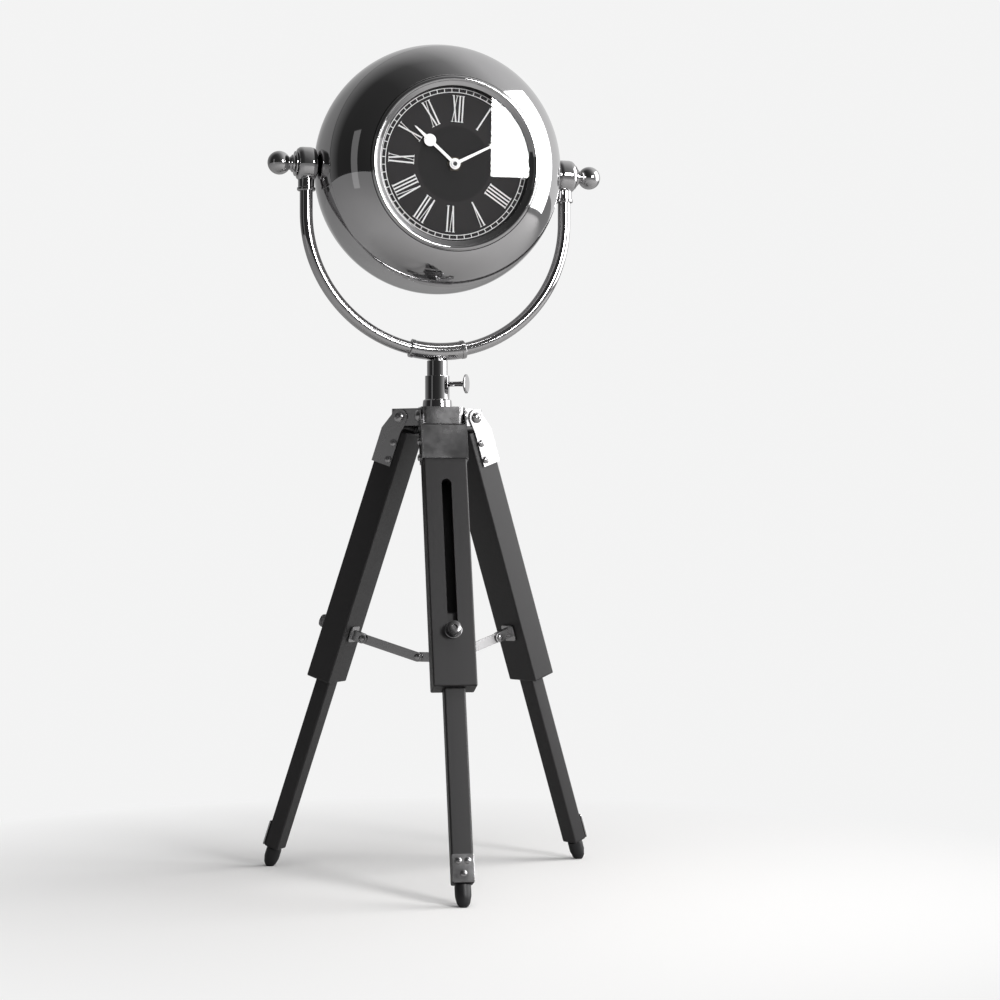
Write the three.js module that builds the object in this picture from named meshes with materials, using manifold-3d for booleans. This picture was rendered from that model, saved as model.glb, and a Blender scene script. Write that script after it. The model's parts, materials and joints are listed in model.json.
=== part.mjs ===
// A tripod table clock: a polished ball head in a U yoke, on a wooden tripod with sliding legs.
// Millimetres, +Z up. The front leg points along -Y and the dial looks the same way, turned a little to +X.
import * as THREE from "three";
import { mergeVertices } from "three/addons/utils/BufferGeometryUtils.js";
import Module from "manifold-3d";

const wasm = await Module();
wasm.setup();

// Clearances and cutting
const clearance = 0.3; // between neighbouring pieces, and round every pin on its radius
const overrun = 1; // how far a cutter passes the face it opens
const weld = 1e-4; // vertices closer than this are one

// Facets
const shellSides = 36;
const roundSides = 18;
const smallSides = 12;
const tinySides = 8;
const tubeSides = 8;
const cornerSteps = 2;
const domeSteps = 2;
const ballSteps = 6;

// Pose that the clock stands in
const swivelAngle = 7.6; // the yoke turned on the post, towards +X
const tiltAngle = 3.5; // the head tipped forward in the yoke
const clockHour = 10;
const clockMinute = 10;
const dialTurn = 3; // the dial and its hands sit turned a little clockwise in the case
const hourHandLead = 2.5; // how far ahead the hour hand is pressed on

// Height of the legs' pivots above the table; the post, the yoke and the head stand on it
const legPivotHeight = 358.5;

// Legs
const legAzimuths = { front: -90, right: 30, left: 150 };
const splayAngle = 19;
const legPivotRadius = 25;
const legWidth = 33;
const legThickness = 20.2;
const legCorner = 1.2;
const upperLegTop = 10; // distances along a leg are measured down it from the pivot
const upperLegBottom = 218;
const channelTop = 44;
const channelWall = 4.8; // wood left between the channel and the outer face
const slotTop = 55.5;
const slotWidth = 7.5;
const lowerLegTop = 160;
const lowerLegWidth = 16.2;
const lowerLegThickness = 12.2;
const lowerLegCorner = 1.4;

// Hub that the legs hang from
const hubHeight = 13.5;
const hubCoreRadius = 18;
const hubReach = 33;
const hubCorner = 4;
const pivotBoltRadius = 2.5;
const pivotHeadRadius = 4.2;
const pivotHeadHeight = 2.6;

// Bracket that hangs each leg
const bracketGauge = 1;
const bracketTop = 12;
const bracketBottom = 39;
const bracketEarRadius = 6.6;
const bracketInnerEdge = -5;
const bracketBoltRadius = 1.5;
const bracketHeadRadius = 2.7;
const bracketHeadHeight = 1.6;
const bracketBoltLevels = { upper: 20.5, lower: 34 };
const bracketBoltOffset = -2;

// Clamp knob of each leg
const clampLevel = 175.3;
const clampShankRadius = 2.5;
const clampWasherRadius = 6.6;
const clampWasherGauge = 1.2;
const clampKnobRadius = 5.3;
const clampKnobHeight = 7.6;
const clampKnobEdge = 0.9;
const clampSocketRadius = 1.9;
const clampSocketDepth = 2.4;

// Feet
const footPlateLift = 0.4; // from the lower leg's end up to the plate
const footPlateLength = 20.6;
const footPlateGauge = 1.2;
const footPlateCorner = 1.5;
const footScrewRadius = 2.5;
const footScrewHeight = 1.3;
const footScrewUpperLift = 16; // from the lower leg's end up to a screw
const footScrewLowerLift = 6.8;
const footScrewSpread = 3.4;
const footRadius = 6;
const footWaistRadius = 5.2;
const footTipRadius = 3.4;
const footLength = 16.4;
const footPress = 0.3; // how much of the foot's length is lost in its flat on the table
const footSpigotRadius = 3;
const footSpigotLength = 10;

// Spreader between the legs
const bracePinLevel = 176.6;
const bracePinStandoff = 10.5; // from the leg's inner face to the pin
const bracePlateLength = 13;
const bracePlateWidth = 14;
const bracePlateCorner = 2;
const braceGauge = 1.3;
const braceEarRadius = 4;
const bracePinRadius = 1.2;
const braceHeadRadius = 2.6;
const braceHeadHeight = 1.2;
const linkLength = 49;
const linkGauge = 1.6;
const linkHalfHeight = 3.8;
const spreaderPinRadius = 16;
const spreaderCoreRadius = 6;
const spreaderEarGauge = 2;

// Centre post and its clamp
const postRadius = 8.1;
const postWall = 2.2;
const postBelowHub = 46.75;
const postAboveSleeve = 12;
const sleeveWall = 1.2;
const sleeveHeight = 25.45;
const flangeRadius = 11.8;
const flangeTopRadius = 11.2;
const flangeHeight = 6.8;
const thumbscrewRise = 19.25; // from the hub's top up to the thumbscrew
const thumbscrewAzimuth = -24;
const thumbscrewRadius = 1.9;
const thumbscrewReach = 24.4;
const thumbscrewHeadRadius = 7.5;
const thumbscrewHeadGauge = 1.8;
const thumbscrewHeadEdge = 0.5;
const thumbscrewCollarRadius = 3.1;
const thumbscrewCollarLength = 2.6;

// Yoke
const eyeGap = 0.4; // between the head and an eye
const yokeTubeRadius = 5;
const yokeDrop = 37.2; // from the trunnion axis down to the centre of the half circle
const yokeSteps = 32;
const bossArcLength = 41;
const bossRadius = 6.9;
const bossRingRadius = 7.3;
const bossRingLength = 3.4;
const bossSteps = 4;
const spigotRadius = 5;
const spigotLength = 11.8;
const eyeRadius = 13;
const eyeLength = 15.2;
const eyeEdge = 2;
const eyeNeckRadius = 6.3;
const eyeNeckBottom = 20.5;
const eyeRingRadius = 7.1;
const eyeRingHeight = 2.6;
const tubeEndDrop = 16;

// Trunnions, washers and ball knobs
const trunnionRadius = 4;
const trunnionHeadRadius = 7;
const trunnionHeadGauge = 3.2;
const trunnionBossRadius = 9;
const trunnionBossDepth = 9;
const washerRadius = 9.5;
const washerGauge = 1.2;
const knobNeckRadius = 5.4;
const knobNeckLength = 4.4;
const knobBallRadius = 9;
const knobBoreEnd = 3; // metal left between the bore's end and the ball's centre plane
const knobBallReach = 11.6; // from a knob's inner end to its ball's centre

// Head shells
const headRadius = 96.3;
const shellWall = 1.8;
const seamForward = 28.5; // distances forward are measured from the trunnion axis along the dial's axis
const frontArcRadius = 50;
const frontArcSteps = 6;
const rearArcSteps = 8;
const innerArcSteps = 4;
const lipLength = 5;
const lipWall = 1.6;
const lipFlare = 9;
const rearOpeningRadius = 38;
const coverSeatWidth = 3.4;
const coverSeatWall = 1.6;
const coverArcSteps = 3;
const coverPullRadius = 7;
const coverPullHeight = 5.5;

// Dial, bezel and glass
const dialForward = 48.3;
const dialGauge = 1.2;
const dialSeatWidth = 5;
const dialSeatGauge = 1.4;
const bezelRadius = 66;
const bezelFront = 57.2;
const bezelSeatForward = 55.2;
const bezelWall = 4.7; // round the glass
const bezelLipWidth = 2.7; // of the lip in front of the glass
const bezelLipGauge = 0.6;
const bezelCrestWidth = 4.4; // from the slope's end out to the rim
const bezelStep = 0.8;
const glassForward = 54.1;
const glassGauge = 1.5;

// Quartz movement
const movementSize = 56;
const movementDepth = 16;
const nozzleRadius = 4;
const nozzleForward = 49.8;
const arborRadius = 1.5;
const arborForward = 52.2;
const nutRadius = 5.8;
const nutGauge = 1;
const batteryRadius = 7;
const batteryLength = 50;
const batteryDrop = 17;
const batteryNubRadius = 2.7;
const batteryNubLength = 1.2;
const bayFloor = 1.5;
const settingKnobRadius = 7;
const settingKnobLength = 6.6;
const settingStemRadius = 1.7;
const settingStemLength = 5;

// Hands
const hourHandLength = 42;
const hourBulbForward = 26;
const hourBulbRadius = 4.7;
const hourHandWidth = 2.4;
const minuteHandLength = 52;
const minuteHandWidth = 2.5;
const handTipWidth = 1;
const handHubRadius = 4.2;
const handGauge = 0.6;
const hourHandForward = 50.7;
const minuteHandForward = 51.6;
const minuteBossForward = 52.2;

const radians = THREE.MathUtils.degToRad;

// Finishes
const polishedMetal = new THREE.MeshStandardMaterial({ color: 0xcfd1d4, metalness: 1, roughness: 0.12 });
const blackWood = new THREE.MeshStandardMaterial({ color: 0x1d1c1f, metalness: 0, roughness: 0.5 });
const blackRubber = new THREE.MeshStandardMaterial({ color: 0x0e0e0f, metalness: 0, roughness: 0.8 });
const dialBlack = new THREE.MeshStandardMaterial({ color: 0x2a282a, metalness: 0, roughness: 0.6 });
const satinSilver = new THREE.MeshStandardMaterial({ color: 0xe6e6e4, metalness: 0.7, roughness: 0.35 });
const clearGlass = new THREE.MeshStandardMaterial({
  color: 0xf4f7f8,
  metalness: 0,
  roughness: 0.05,
  transparent: true,
  opacity: 0.25,
});
const blackPlastic = new THREE.MeshStandardMaterial({ color: 0x161617, metalness: 0, roughness: 0.55 });
const cellJacket = new THREE.MeshStandardMaterial({ color: 0x7f8a90, metalness: 0.3, roughness: 0.4 });
const brass = new THREE.MeshStandardMaterial({ color: 0xb08d4a, metalness: 1, roughness: 0.3 });

// A closed solid from a geometry: only positions are kept, welded, and triangles that collapse are dropped.
function solid(shape) {
  if (!shape.isBufferGeometry) return shape;
  const bare = new THREE.BufferGeometry();
  bare.setAttribute("position", shape.getAttribute("position").clone());
  if (shape.index) bare.setIndex(shape.index.clone());
  const merged = mergeVertices(bare, weld);
  const kept = [];
  const index = merged.index.array;
  for (let i = 0; i < index.length; i += 3) {
    const [a, b, c] = [index[i], index[i + 1], index[i + 2]];
    if (a !== b && b !== c && c !== a) kept.push(a, b, c);
  }
  return new wasm.Manifold(
    new wasm.Mesh({
      numProp: 3,
      vertProperties: new Float32Array(merged.getAttribute("position").array),
      triVerts: new Uint32Array(kept),
    }),
  );
}

function join(...shapes) {
  return shapes.map(solid).reduce((whole, next) => whole.add(next));
}

function cut(base, ...cutters) {
  return cutters.map(solid).reduce((rest, next) => rest.subtract(next), solid(base));
}

function piece(name, shape, material) {
  const mesh = solid(shape).getMesh();
  const geometry = new THREE.BufferGeometry();
  geometry.setAttribute("position", new THREE.BufferAttribute(new Float32Array(mesh.vertProperties), 3));
  geometry.setIndex(new THREE.BufferAttribute(new Uint32Array(mesh.triVerts), 1));
  geometry.computeVertexNormals();
  const made = new THREE.Mesh(geometry, material);
  made.name = name;
  return made;
}

function block(x0, x1, y0, y1, z0, z1) {
  const box = new THREE.BoxGeometry(x1 - x0, y1 - y0, z1 - z0);
  return box.translate((x0 + x1) / 2, (y0 + y1) / 2, (z0 + z1) / 2);
}

// Turns a geometry made along +Z so that +Z becomes the named axis.
function pointAlong(geometry, axis) {
  if (axis === "x") return geometry.rotateY(Math.PI / 2);
  if (axis === "-x") return geometry.rotateY(-Math.PI / 2);
  if (axis === "y") return geometry.rotateX(-Math.PI / 2);
  if (axis === "-y") return geometry.rotateX(Math.PI / 2);
  if (axis === "-z") return geometry.rotateX(Math.PI);
  return geometry;
}

// A solid of revolution: the outline lists [distance along the axis, radius], in either direction.
function turned(outline, axis = "z", sides = roundSides) {
  const area = outline.reduce((sum, [a, r], i) => {
    const [b, s] = outline[(i + 1) % outline.length];
    return sum + a * s - b * r;
  }, 0);
  const ordered = area > 0 ? [...outline].reverse() : outline;
  const open = ordered.every(([, r]) => r > 0);
  const ring = open ? [...ordered, ordered[0]] : fromAxis(ordered);
  const points = ring.map(([along, radius]) => new THREE.Vector2(radius, along));
  return pointAlong(new THREE.LatheGeometry(points, sides).rotateX(Math.PI / 2), axis);
}

// Starts an outline at the point where it leaves the axis, so that it also ends on the axis.
function fromAxis(outline) {
  const start = outline.findIndex(([, r], i) => {
    const before = outline[(i + outline.length - 1) % outline.length];
    return r === 0 && before[1] === 0;
  });
  return [...outline.slice(start), ...outline.slice(0, start)];
}

function rod(radius, from, to, axis = "z", sides = roundSides) {
  return turned([[from, 0], [from, radius], [to, radius], [to, 0]], axis, sides);
}

// A domed head whose flat side is at "from", rising by "height" along the axis.
function domeOutline(radius, from, height) {
  return Array.from({ length: domeSteps + 1 }, (_, i) => {
    const angle = (Math.PI / 2) * (i / domeSteps);
    return [from + height * Math.sin(angle), i === domeSteps ? 0 : radius * Math.cos(angle)];
  });
}

// A pin with a domed head at each end: grip is the distance between the heads.
function twoHeaded(radius, capRadius, headHeight, grip, axis, sides) {
  const low = domeOutline(capRadius, -grip / 2, -headHeight).reverse();
  const high = domeOutline(capRadius, grip / 2, headHeight);
  return turned([...low, [-grip / 2, radius], [grip / 2, radius], ...high], axis, sides);
}

// Points of an arc in an outline: centre and radius, angles from the forward axis.
function arcPoints(centreAlong, centreRadius, radius, from, to, steps) {
  return Array.from({ length: steps + 1 }, (_, i) => {
    const angle = from + ((to - from) * i) / steps;
    return [centreAlong + radius * Math.cos(angle), centreRadius + radius * Math.sin(angle)];
  });
}

function roundedRectangle(x0, x1, y0, y1, corner) {
  const shape = new THREE.Shape();
  shape.absarc(x1 - corner, y1 - corner, corner, 0, Math.PI / 2);
  shape.absarc(x0 + corner, y1 - corner, corner, Math.PI / 2, Math.PI);
  shape.absarc(x0 + corner, y0 + corner, corner, Math.PI, (3 * Math.PI) / 2);
  shape.absarc(x1 - corner, y0 + corner, corner, (3 * Math.PI) / 2, 2 * Math.PI);
  return shape;
}

// A hole with round ends, from y0 to y1.
function longHole(radius, y0, y1) {
  const shape = new THREE.Shape();
  shape.absarc(0, y1 - radius, radius, 0, Math.PI);
  shape.absarc(0, y0 + radius, radius, Math.PI, 2 * Math.PI);
  return shape;
}

function extruded(shape, depth, curveSegments = cornerSteps) {
  return new THREE.ExtrudeGeometry(shape, { depth, bevelEnabled: false, curveSegments });
}

// An outline drawn in x and z, given a thickness along y from y0 to y1.
function uprightPlate(shape, y0, y1, curveSegments) {
  return extruded(shape, y1 - y0, curveSegments).rotateX(Math.PI / 2).translate(0, y1, 0);
}

// An outline drawn in y and z, given a thickness along x from x0 to x1.
function facePlate(shape, x0, x1) {
  return extruded(shape, x1 - x0).rotateX(Math.PI / 2).rotateZ(Math.PI / 2).translate(x0, 0, 0);
}

function regularOutline(radius, sides) {
  const points = Array.from({ length: sides }, (_, i) => {
    const angle = (2 * Math.PI * i) / sides;
    return new THREE.Vector2(radius * Math.cos(angle), radius * Math.sin(angle));
  });
  return new THREE.Shape(points);
}

function group(...children) {
  const made = new THREE.Group();
  made.add(...children);
  return made;
}

// A group whose +X points away from the post at one leg.
function atAzimuth(angle, ...children) {
  const made = group(...children);
  made.rotation.z = radians(angle);
  return made;
}

// Sizes worked out from those above
const hubBottom = legPivotHeight - hubHeight / 2;
const hubTop = legPivotHeight + hubHeight / 2;
const outerFace = legThickness / 2;
const innerFace = -legThickness / 2;
const channelFloor = outerFace - channelWall;
const channelBack = channelFloor - lowerLegThickness - 2 * clearance;
const channelWidth = lowerLegWidth + 2 * clearance;
const lowerOuterFace = channelFloor - clearance;
const lowerInnerFace = lowerOuterFace - lowerLegThickness;
const lowerCentre = (lowerOuterFace + lowerInnerFace) / 2;
const bracketOuterFace = outerFace + clearance + bracketGauge;
const bracketHalfWidth = legWidth / 2 + clearance + bracketGauge;
const leanReach = legPivotHeight + lowerCentre * Math.sin(radians(splayAngle));
const footEnd = leanReach / Math.cos(radians(splayAngle)) + footPress;
const lowerLegBottom = footEnd - footLength - clearance;
const postBottom = hubBottom - postBelowHub;
const sleeveTop = hubTop + clearance + sleeveHeight;
const thumbscrewHeight = hubTop + thumbscrewRise;
const postTop = sleeveTop + postAboveSleeve;
const yokeRadius = headRadius + eyeGap + eyeLength / 2; // of the tube's centre line
const bossDrop = yokeDrop + yokeRadius;
const trunnionHeight = postTop + clearance + bossRadius + bossDrop;
const eyeInnerEnd = yokeRadius - eyeLength / 2;
const eyeOuterEnd = yokeRadius + eyeLength / 2;
const washerInnerEnd = eyeOuterEnd + clearance;
const washerOuterEnd = washerInnerEnd + washerGauge;
const knobInnerEnd = washerOuterEnd + clearance;
const knobBallCentre = knobInnerEnd + knobBallReach;
const bezelBore = bezelRadius - bezelWall;
const bezelLipRadius = bezelBore - bezelLipWidth;
const bezelSlopeRadius = bezelRadius - bezelCrestWidth;
const dialRadius = bezelBore - clearance;
const dialSeatRadius = dialRadius - dialSeatWidth;

function hub() {
  const lobes = Object.values(legAzimuths).map((azimuth) => {
    const outline = roundedRectangle(-hubCorner, hubReach, -legWidth / 2, legWidth / 2, hubCorner);
    return extruded(outline, hubHeight).translate(0, 0, hubBottom).rotateZ(radians(azimuth));
  });
  const core = rod(hubCoreRadius, hubBottom, hubTop);
  const postBore = rod(postRadius + clearance, hubBottom - overrun, hubTop + overrun);
  const boltBores = Object.values(legAzimuths).map((azimuth) => {
    const reach = legWidth / 2 + overrun;
    const bore = rod(pivotBoltRadius + clearance, -reach, reach, "y", smallSides);
    return bore.translate(legPivotRadius, 0, legPivotHeight).rotateZ(radians(azimuth));
  });
  return piece("hub", cut(join(core, ...lobes), postBore, ...boltBores), polishedMetal);
}

function clampSleeve() {
  const bore = postRadius + clearance;
  const base = hubTop + clearance;
  const body = turned([
    [base, bore],
    [base, flangeRadius],
    [base + flangeHeight, flangeTopRadius],
    [base + flangeHeight, bore + sleeveWall],
    [sleeveTop, bore + sleeveWall],
    [sleeveTop, bore],
  ]);
  const hole = rod(thumbscrewRadius + clearance, 0, flangeRadius, "x", tinySides);
  hole.rotateZ(radians(thumbscrewAzimuth)).translate(0, 0, thumbscrewHeight);
  return piece("clamp_sleeve", cut(body, hole), polishedMetal);
}

function thumbscrew() {
  const tip = postRadius + clearance;
  const collarEnd = thumbscrewReach - thumbscrewHeadGauge;
  const outline = [
    [tip, 0],
    [tip, thumbscrewRadius],
    [collarEnd - thumbscrewCollarLength, thumbscrewRadius],
    [collarEnd, thumbscrewCollarRadius],
    [collarEnd, thumbscrewHeadRadius - thumbscrewHeadEdge],
    [collarEnd + thumbscrewHeadEdge, thumbscrewHeadRadius],
    [thumbscrewReach - thumbscrewHeadEdge, thumbscrewHeadRadius],
    [thumbscrewReach, thumbscrewHeadRadius - thumbscrewHeadEdge],
    [thumbscrewReach, 0],
  ];
  const mesh = piece("thumbscrew", turned(outline, "x", smallSides), polishedMetal);
  mesh.position.z = thumbscrewHeight;
  return atAzimuth(thumbscrewAzimuth, mesh);
}

function postTube() {
  const outline = [
    [postBottom, postRadius - postWall],
    [postBottom, postRadius],
    [postTop, postRadius],
    [postTop, postRadius - postWall],
  ];
  return piece("post_tube", turned(outline), polishedMetal);
}

// One leg, built with +X out from the post, Y across and Z up along the leg, its origin on the pivot.
function upperLeg(side) {
  const outline = roundedRectangle(innerFace, outerFace, -legWidth / 2, legWidth / 2, legCorner);
  const timber = extruded(outline, upperLegBottom - upperLegTop).translate(0, 0, -upperLegBottom);
  const half = channelWidth / 2;
  const mouth = -upperLegBottom - overrun;
  const channel = block(channelBack, channelFloor, -half, half, mouth, -channelTop);
  const slotBottom = clampLevel + clampShankRadius + clearance;
  const slotOutline = longHole(slotWidth / 2, -slotBottom, -slotTop);
  const slot = facePlate(slotOutline, channelFloor - overrun, outerFace + overrun);
  const bores = Object.values(bracketBoltLevels).map((level) => {
    const reach = legWidth / 2 + overrun;
    const bore = rod(bracketBoltRadius + clearance, -reach, reach, "y", tinySides);
    return bore.translate(bracketBoltOffset, 0, -level);
  });
  return piece(`upper_leg_${side}`, cut(timber, channel, slot, ...bores), blackWood);
}

function legBracket(side) {
  const cheek = new THREE.Shape();
  cheek.moveTo(bracketInnerEdge, -bracketBottom);
  cheek.lineTo(bracketOuterFace, -bracketBottom);
  cheek.lineTo(bracketOuterFace, -bracketTop);
  cheek.lineTo(bracketEarRadius, 0);
  cheek.absarc(0, 0, bracketEarRadius, 0, Math.PI);
  cheek.lineTo(bracketInnerEdge, -bracketTop);
  const farCheek = bracketHalfWidth - bracketGauge;
  const cheeks = [
    uprightPlate(cheek, -bracketHalfWidth, -farCheek, smallSides / 2),
    uprightPlate(cheek, farCheek, bracketHalfWidth, smallSides / 2),
  ];
  const front = bracketOuterFace - bracketGauge;
  const half = bracketHalfWidth;
  const face = roundedRectangle(-half, half, -bracketBottom, -bracketTop, bracketGauge);
  const plate = facePlate(face, front, bracketOuterFace);
  const reach = bracketHalfWidth + overrun;
  const pivotBore = rod(pivotBoltRadius + clearance, -reach, reach, "y", smallSides);
  const bores = Object.values(bracketBoltLevels).map((level) =>
    rod(bracketBoltRadius + clearance, -reach, reach, "y", tinySides).translate(bracketBoltOffset, 0, -level),
  );
  return piece(`leg_bracket_${side}`, cut(join(...cheeks, plate), pivotBore, ...bores), polishedMetal);
}

function bracketBolt(side, place) {
  const grip = 2 * (bracketHalfWidth + clearance);
  const bolt = twoHeaded(bracketBoltRadius, bracketHeadRadius, bracketHeadHeight, grip, "y", tinySides);
  bolt.translate(bracketBoltOffset, 0, -bracketBoltLevels[place]);
  return piece(`bracket_bolt_${place}_${side}`, bolt, polishedMetal);
}

function pivotBolt(side) {
  const grip = 2 * (bracketHalfWidth + clearance);
  const bolt = twoHeaded(pivotBoltRadius, pivotHeadRadius, pivotHeadHeight, grip, "y", smallSides);
  return piece(`pivot_bolt_${side}`, bolt.translate(legPivotRadius, 0, legPivotHeight), polishedMetal);
}

function lowerLeg(side) {
  const half = lowerLegWidth / 2;
  const outline = roundedRectangle(lowerInnerFace, lowerOuterFace, -half, half, lowerLegCorner);
  const timber = extruded(outline, lowerLegBottom - lowerLegTop).translate(0, 0, -lowerLegBottom);
  const reach = legThickness;
  const clampBore = rod(clampShankRadius + clearance, -reach, reach, "x", smallSides);
  clampBore.translate(0, 0, -clampLevel);
  const spigotTop = spanUp(footSpigotLength + clearance);
  const spigotEnd = -lowerLegBottom - overrun;
  const spigotBore = rod(footSpigotRadius + clearance, spigotEnd, spigotTop, "z", smallSides);
  spigotBore.translate(lowerCentre, 0, 0);
  return piece(`lower_leg_${side}`, cut(timber, clampBore, spigotBore), blackWood);
}

function clampKnob(side) {
  const base = outerFace + clearance;
  const top = base + clampWasherGauge + clampKnobHeight;
  const outline = [
    [lowerInnerFace + clearance, 0],
    [lowerInnerFace + clearance, clampShankRadius],
    [base, clampShankRadius],
    [base, clampWasherRadius],
    [base + clampWasherGauge, clampWasherRadius],
    [base + clampWasherGauge, clampKnobRadius],
    [top - clampKnobEdge, clampKnobRadius],
    [top, clampKnobRadius - clampKnobEdge],
    [top, clampSocketRadius],
    [top - clampSocketDepth, clampSocketRadius],
    [top - clampSocketDepth, 0],
  ];
  const knob = turned(outline, "x", smallSides).translate(0, 0, -clampLevel);
  return piece(`clamp_knob_${side}`, knob, polishedMetal);
}

function footPlate(side) {
  const back = lowerOuterFace + clearance;
  const front = back + footPlateGauge;
  const half = lowerLegWidth / 2;
  const low = spanUp(footPlateLift);
  const outline = roundedRectangle(-half, half, low, low + footPlateLength, footPlateCorner);
  const plate = facePlate(outline, back, front);
  const screwPlaces = [
    [-footScrewSpread, footScrewUpperLift],
    [footScrewSpread, footScrewUpperLift],
    [0, footScrewLowerLift],
  ];
  const dome = domeOutline(footScrewRadius, front, footScrewHeight);
  const screws = screwPlaces.map(([y, lift]) =>
    turned([[back, 0], [back, footScrewRadius], ...dome], "x", tinySides).translate(0, y, spanUp(lift)),
  );
  return piece(`foot_plate_${side}`, join(plate, ...screws), polishedMetal);
}

function rubberFoot(side) {
  const top = lowerLegBottom + clearance;
  const tip = top + footLength;
  const outline = [
    [spanUp(footSpigotLength), 0],
    [spanUp(footSpigotLength), footSpigotRadius],
    [-top, footSpigotRadius],
    [-top, footRadius],
    [-(top + footLength / 2), footRadius],
    [-(tip - footTipRadius), footWaistRadius],
    [-tip, footTipRadius],
    [-tip, 0],
  ];
  const bullet = turned(outline, "z", smallSides).translate(lowerCentre, 0, 0);
  // The table's plane in the leg's own frame: the leg leans by the splay, so the cutter leans back.
  const table = block(-tip, tip, -tip, tip, -tip, 0);
  table.translate(-legPivotRadius, 0, -legPivotHeight).rotateY(radians(splayAngle));
  return piece(`rubber_foot_${side}`, cut(bullet, table), blackRubber);
}

// How far up its leg a spigot of this length reaches from the leg's end.
function spanUp(length) {
  return length - lowerLegBottom;
}

// The two ears of a fork sit either side of the link, which lies just beside the leg's centre plane.
const linkNear = spreaderEarGauge / 2 + clearance;
const linkFar = linkNear + linkGauge;
const forkSpans = [
  [linkNear - clearance - braceGauge, linkNear - clearance],
  [linkFar + clearance, linkFar + clearance + braceGauge],
];
const bracePinOffset = innerFace - bracePinStandoff;

function braceBracket(side) {
  const back = innerFace - clearance;
  const middle = -bracePinLevel;
  const low = middle - bracePlateLength / 2;
  const halfWidth = bracePlateWidth / 2;
  const outline = roundedRectangle(-halfWidth, halfWidth, low, low + bracePlateLength, bracePlateCorner);
  const plate = facePlate(outline, back - braceGauge, back);
  const ears = forkSpans.map(([y0, y1]) => {
    const ear = new THREE.Shape();
    ear.moveTo(back - braceGauge / 2, middle - braceEarRadius);
    ear.lineTo(back - braceGauge / 2, middle + braceEarRadius);
    ear.lineTo(bracePinOffset, middle + braceEarRadius);
    ear.absarc(bracePinOffset, middle, braceEarRadius, Math.PI / 2, (3 * Math.PI) / 2);
    return uprightPlate(ear, y0, y1);
  });
  const reach = halfWidth;
  const bore = rod(bracePinRadius + clearance, -reach, reach, "y", tinySides);
  bore.translate(bracePinOffset, 0, middle);
  return piece(`brace_bracket_${side}`, cut(join(plate, ...ears), bore), polishedMetal);
}

// The link, its origin on the outer pin and its length along -X.
function braceLink(side) {
  const strip = new THREE.Shape();
  strip.absarc(0, 0, linkHalfHeight, -Math.PI / 2, Math.PI / 2);
  strip.absarc(-linkLength, 0, linkHalfHeight, Math.PI / 2, (3 * Math.PI) / 2);
  const bar = uprightPlate(strip, linkNear, linkFar);
  const [[earNear], [, earFar]] = forkSpans;
  const grip = earFar - earNear + 2 * clearance;
  const pin = twoHeaded(bracePinRadius, braceHeadRadius, braceHeadHeight, grip, "y", tinySides);
  pin.translate(0, (earNear + earFar) / 2, 0);
  const dome = domeOutline(braceHeadRadius, linkFar, braceHeadHeight);
  const rivet = turned([[linkNear, 0], [linkNear, braceHeadRadius], ...dome], "y", tinySides);
  rivet.translate(-linkLength, 0, 0);
  return piece(`brace_link_${side}`, join(bar, pin, rivet), polishedMetal);
}

// Where the outer pin of a link is, out from the post and up from the table, with the leg at this lean.
function bracePinPlace(lean) {
  return {
    out: legPivotRadius + bracePinLevel * Math.sin(lean) + bracePinOffset * Math.cos(lean),
    up: legPivotHeight - bracePinLevel * Math.cos(lean) + bracePinOffset * Math.sin(lean),
  };
}

const pinPlace = bracePinPlace(radians(splayAngle));
const linkSlope = Math.acos((pinPlace.out - spreaderPinRadius) / linkLength);
const spreaderHeight = pinPlace.up - linkLength * Math.sin(linkSlope);

function spreaderHub() {
  const core = rod(spreaderCoreRadius, -linkHalfHeight, linkHalfHeight, "z", smallSides);
  const half = spreaderEarGauge / 2;
  const ears = Object.values(legAzimuths).map((azimuth) => {
    const ear = new THREE.Shape();
    ear.moveTo(0, -linkHalfHeight);
    ear.lineTo(spreaderPinRadius, -linkHalfHeight);
    ear.absarc(spreaderPinRadius, 0, linkHalfHeight, -Math.PI / 2, Math.PI / 2);
    ear.lineTo(0, linkHalfHeight);
    const dome = domeOutline(braceHeadRadius, half, braceHeadHeight);
    const rivet = turned([[0, 0], [0, braceHeadRadius], ...dome], "-y", tinySides);
    rivet.translate(spreaderPinRadius, 0, 0);
    return solidTurned(join(uprightPlate(ear, -half, half), rivet), azimuth);
  });
  const mesh = piece("spreader_hub", join(core, ...ears), polishedMetal);
  mesh.position.z = spreaderHeight;
  return mesh;
}

// A joined solid turned about the post's axis.
function solidTurned(shape, azimuth) {
  const mesh = solid(shape).getMesh();
  const geometry = new THREE.BufferGeometry();
  geometry.setAttribute("position", new THREE.BufferAttribute(new Float32Array(mesh.vertProperties), 3));
  geometry.setIndex(new THREE.BufferAttribute(new Uint32Array(mesh.triVerts), 1));
  return geometry.rotateZ(radians(azimuth));
}

function leg(side) {
  const leaning = group(
    upperLeg(side),
    legBracket(side),
    bracketBolt(side, "upper"),
    bracketBolt(side, "lower"),
    lowerLeg(side),
    clampKnob(side),
    footPlate(side),
    rubberFoot(side),
    braceBracket(side),
  );
  leaning.position.set(legPivotRadius, 0, legPivotHeight);
  leaning.rotation.y = -radians(splayAngle);
  const link = braceLink(side);
  link.position.set(pinPlace.out, 0, pinPlace.up);
  link.rotation.y = -linkSlope;
  return atAzimuth(legAzimuths[side], pivotBolt(side), leaning, link);
}

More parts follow.
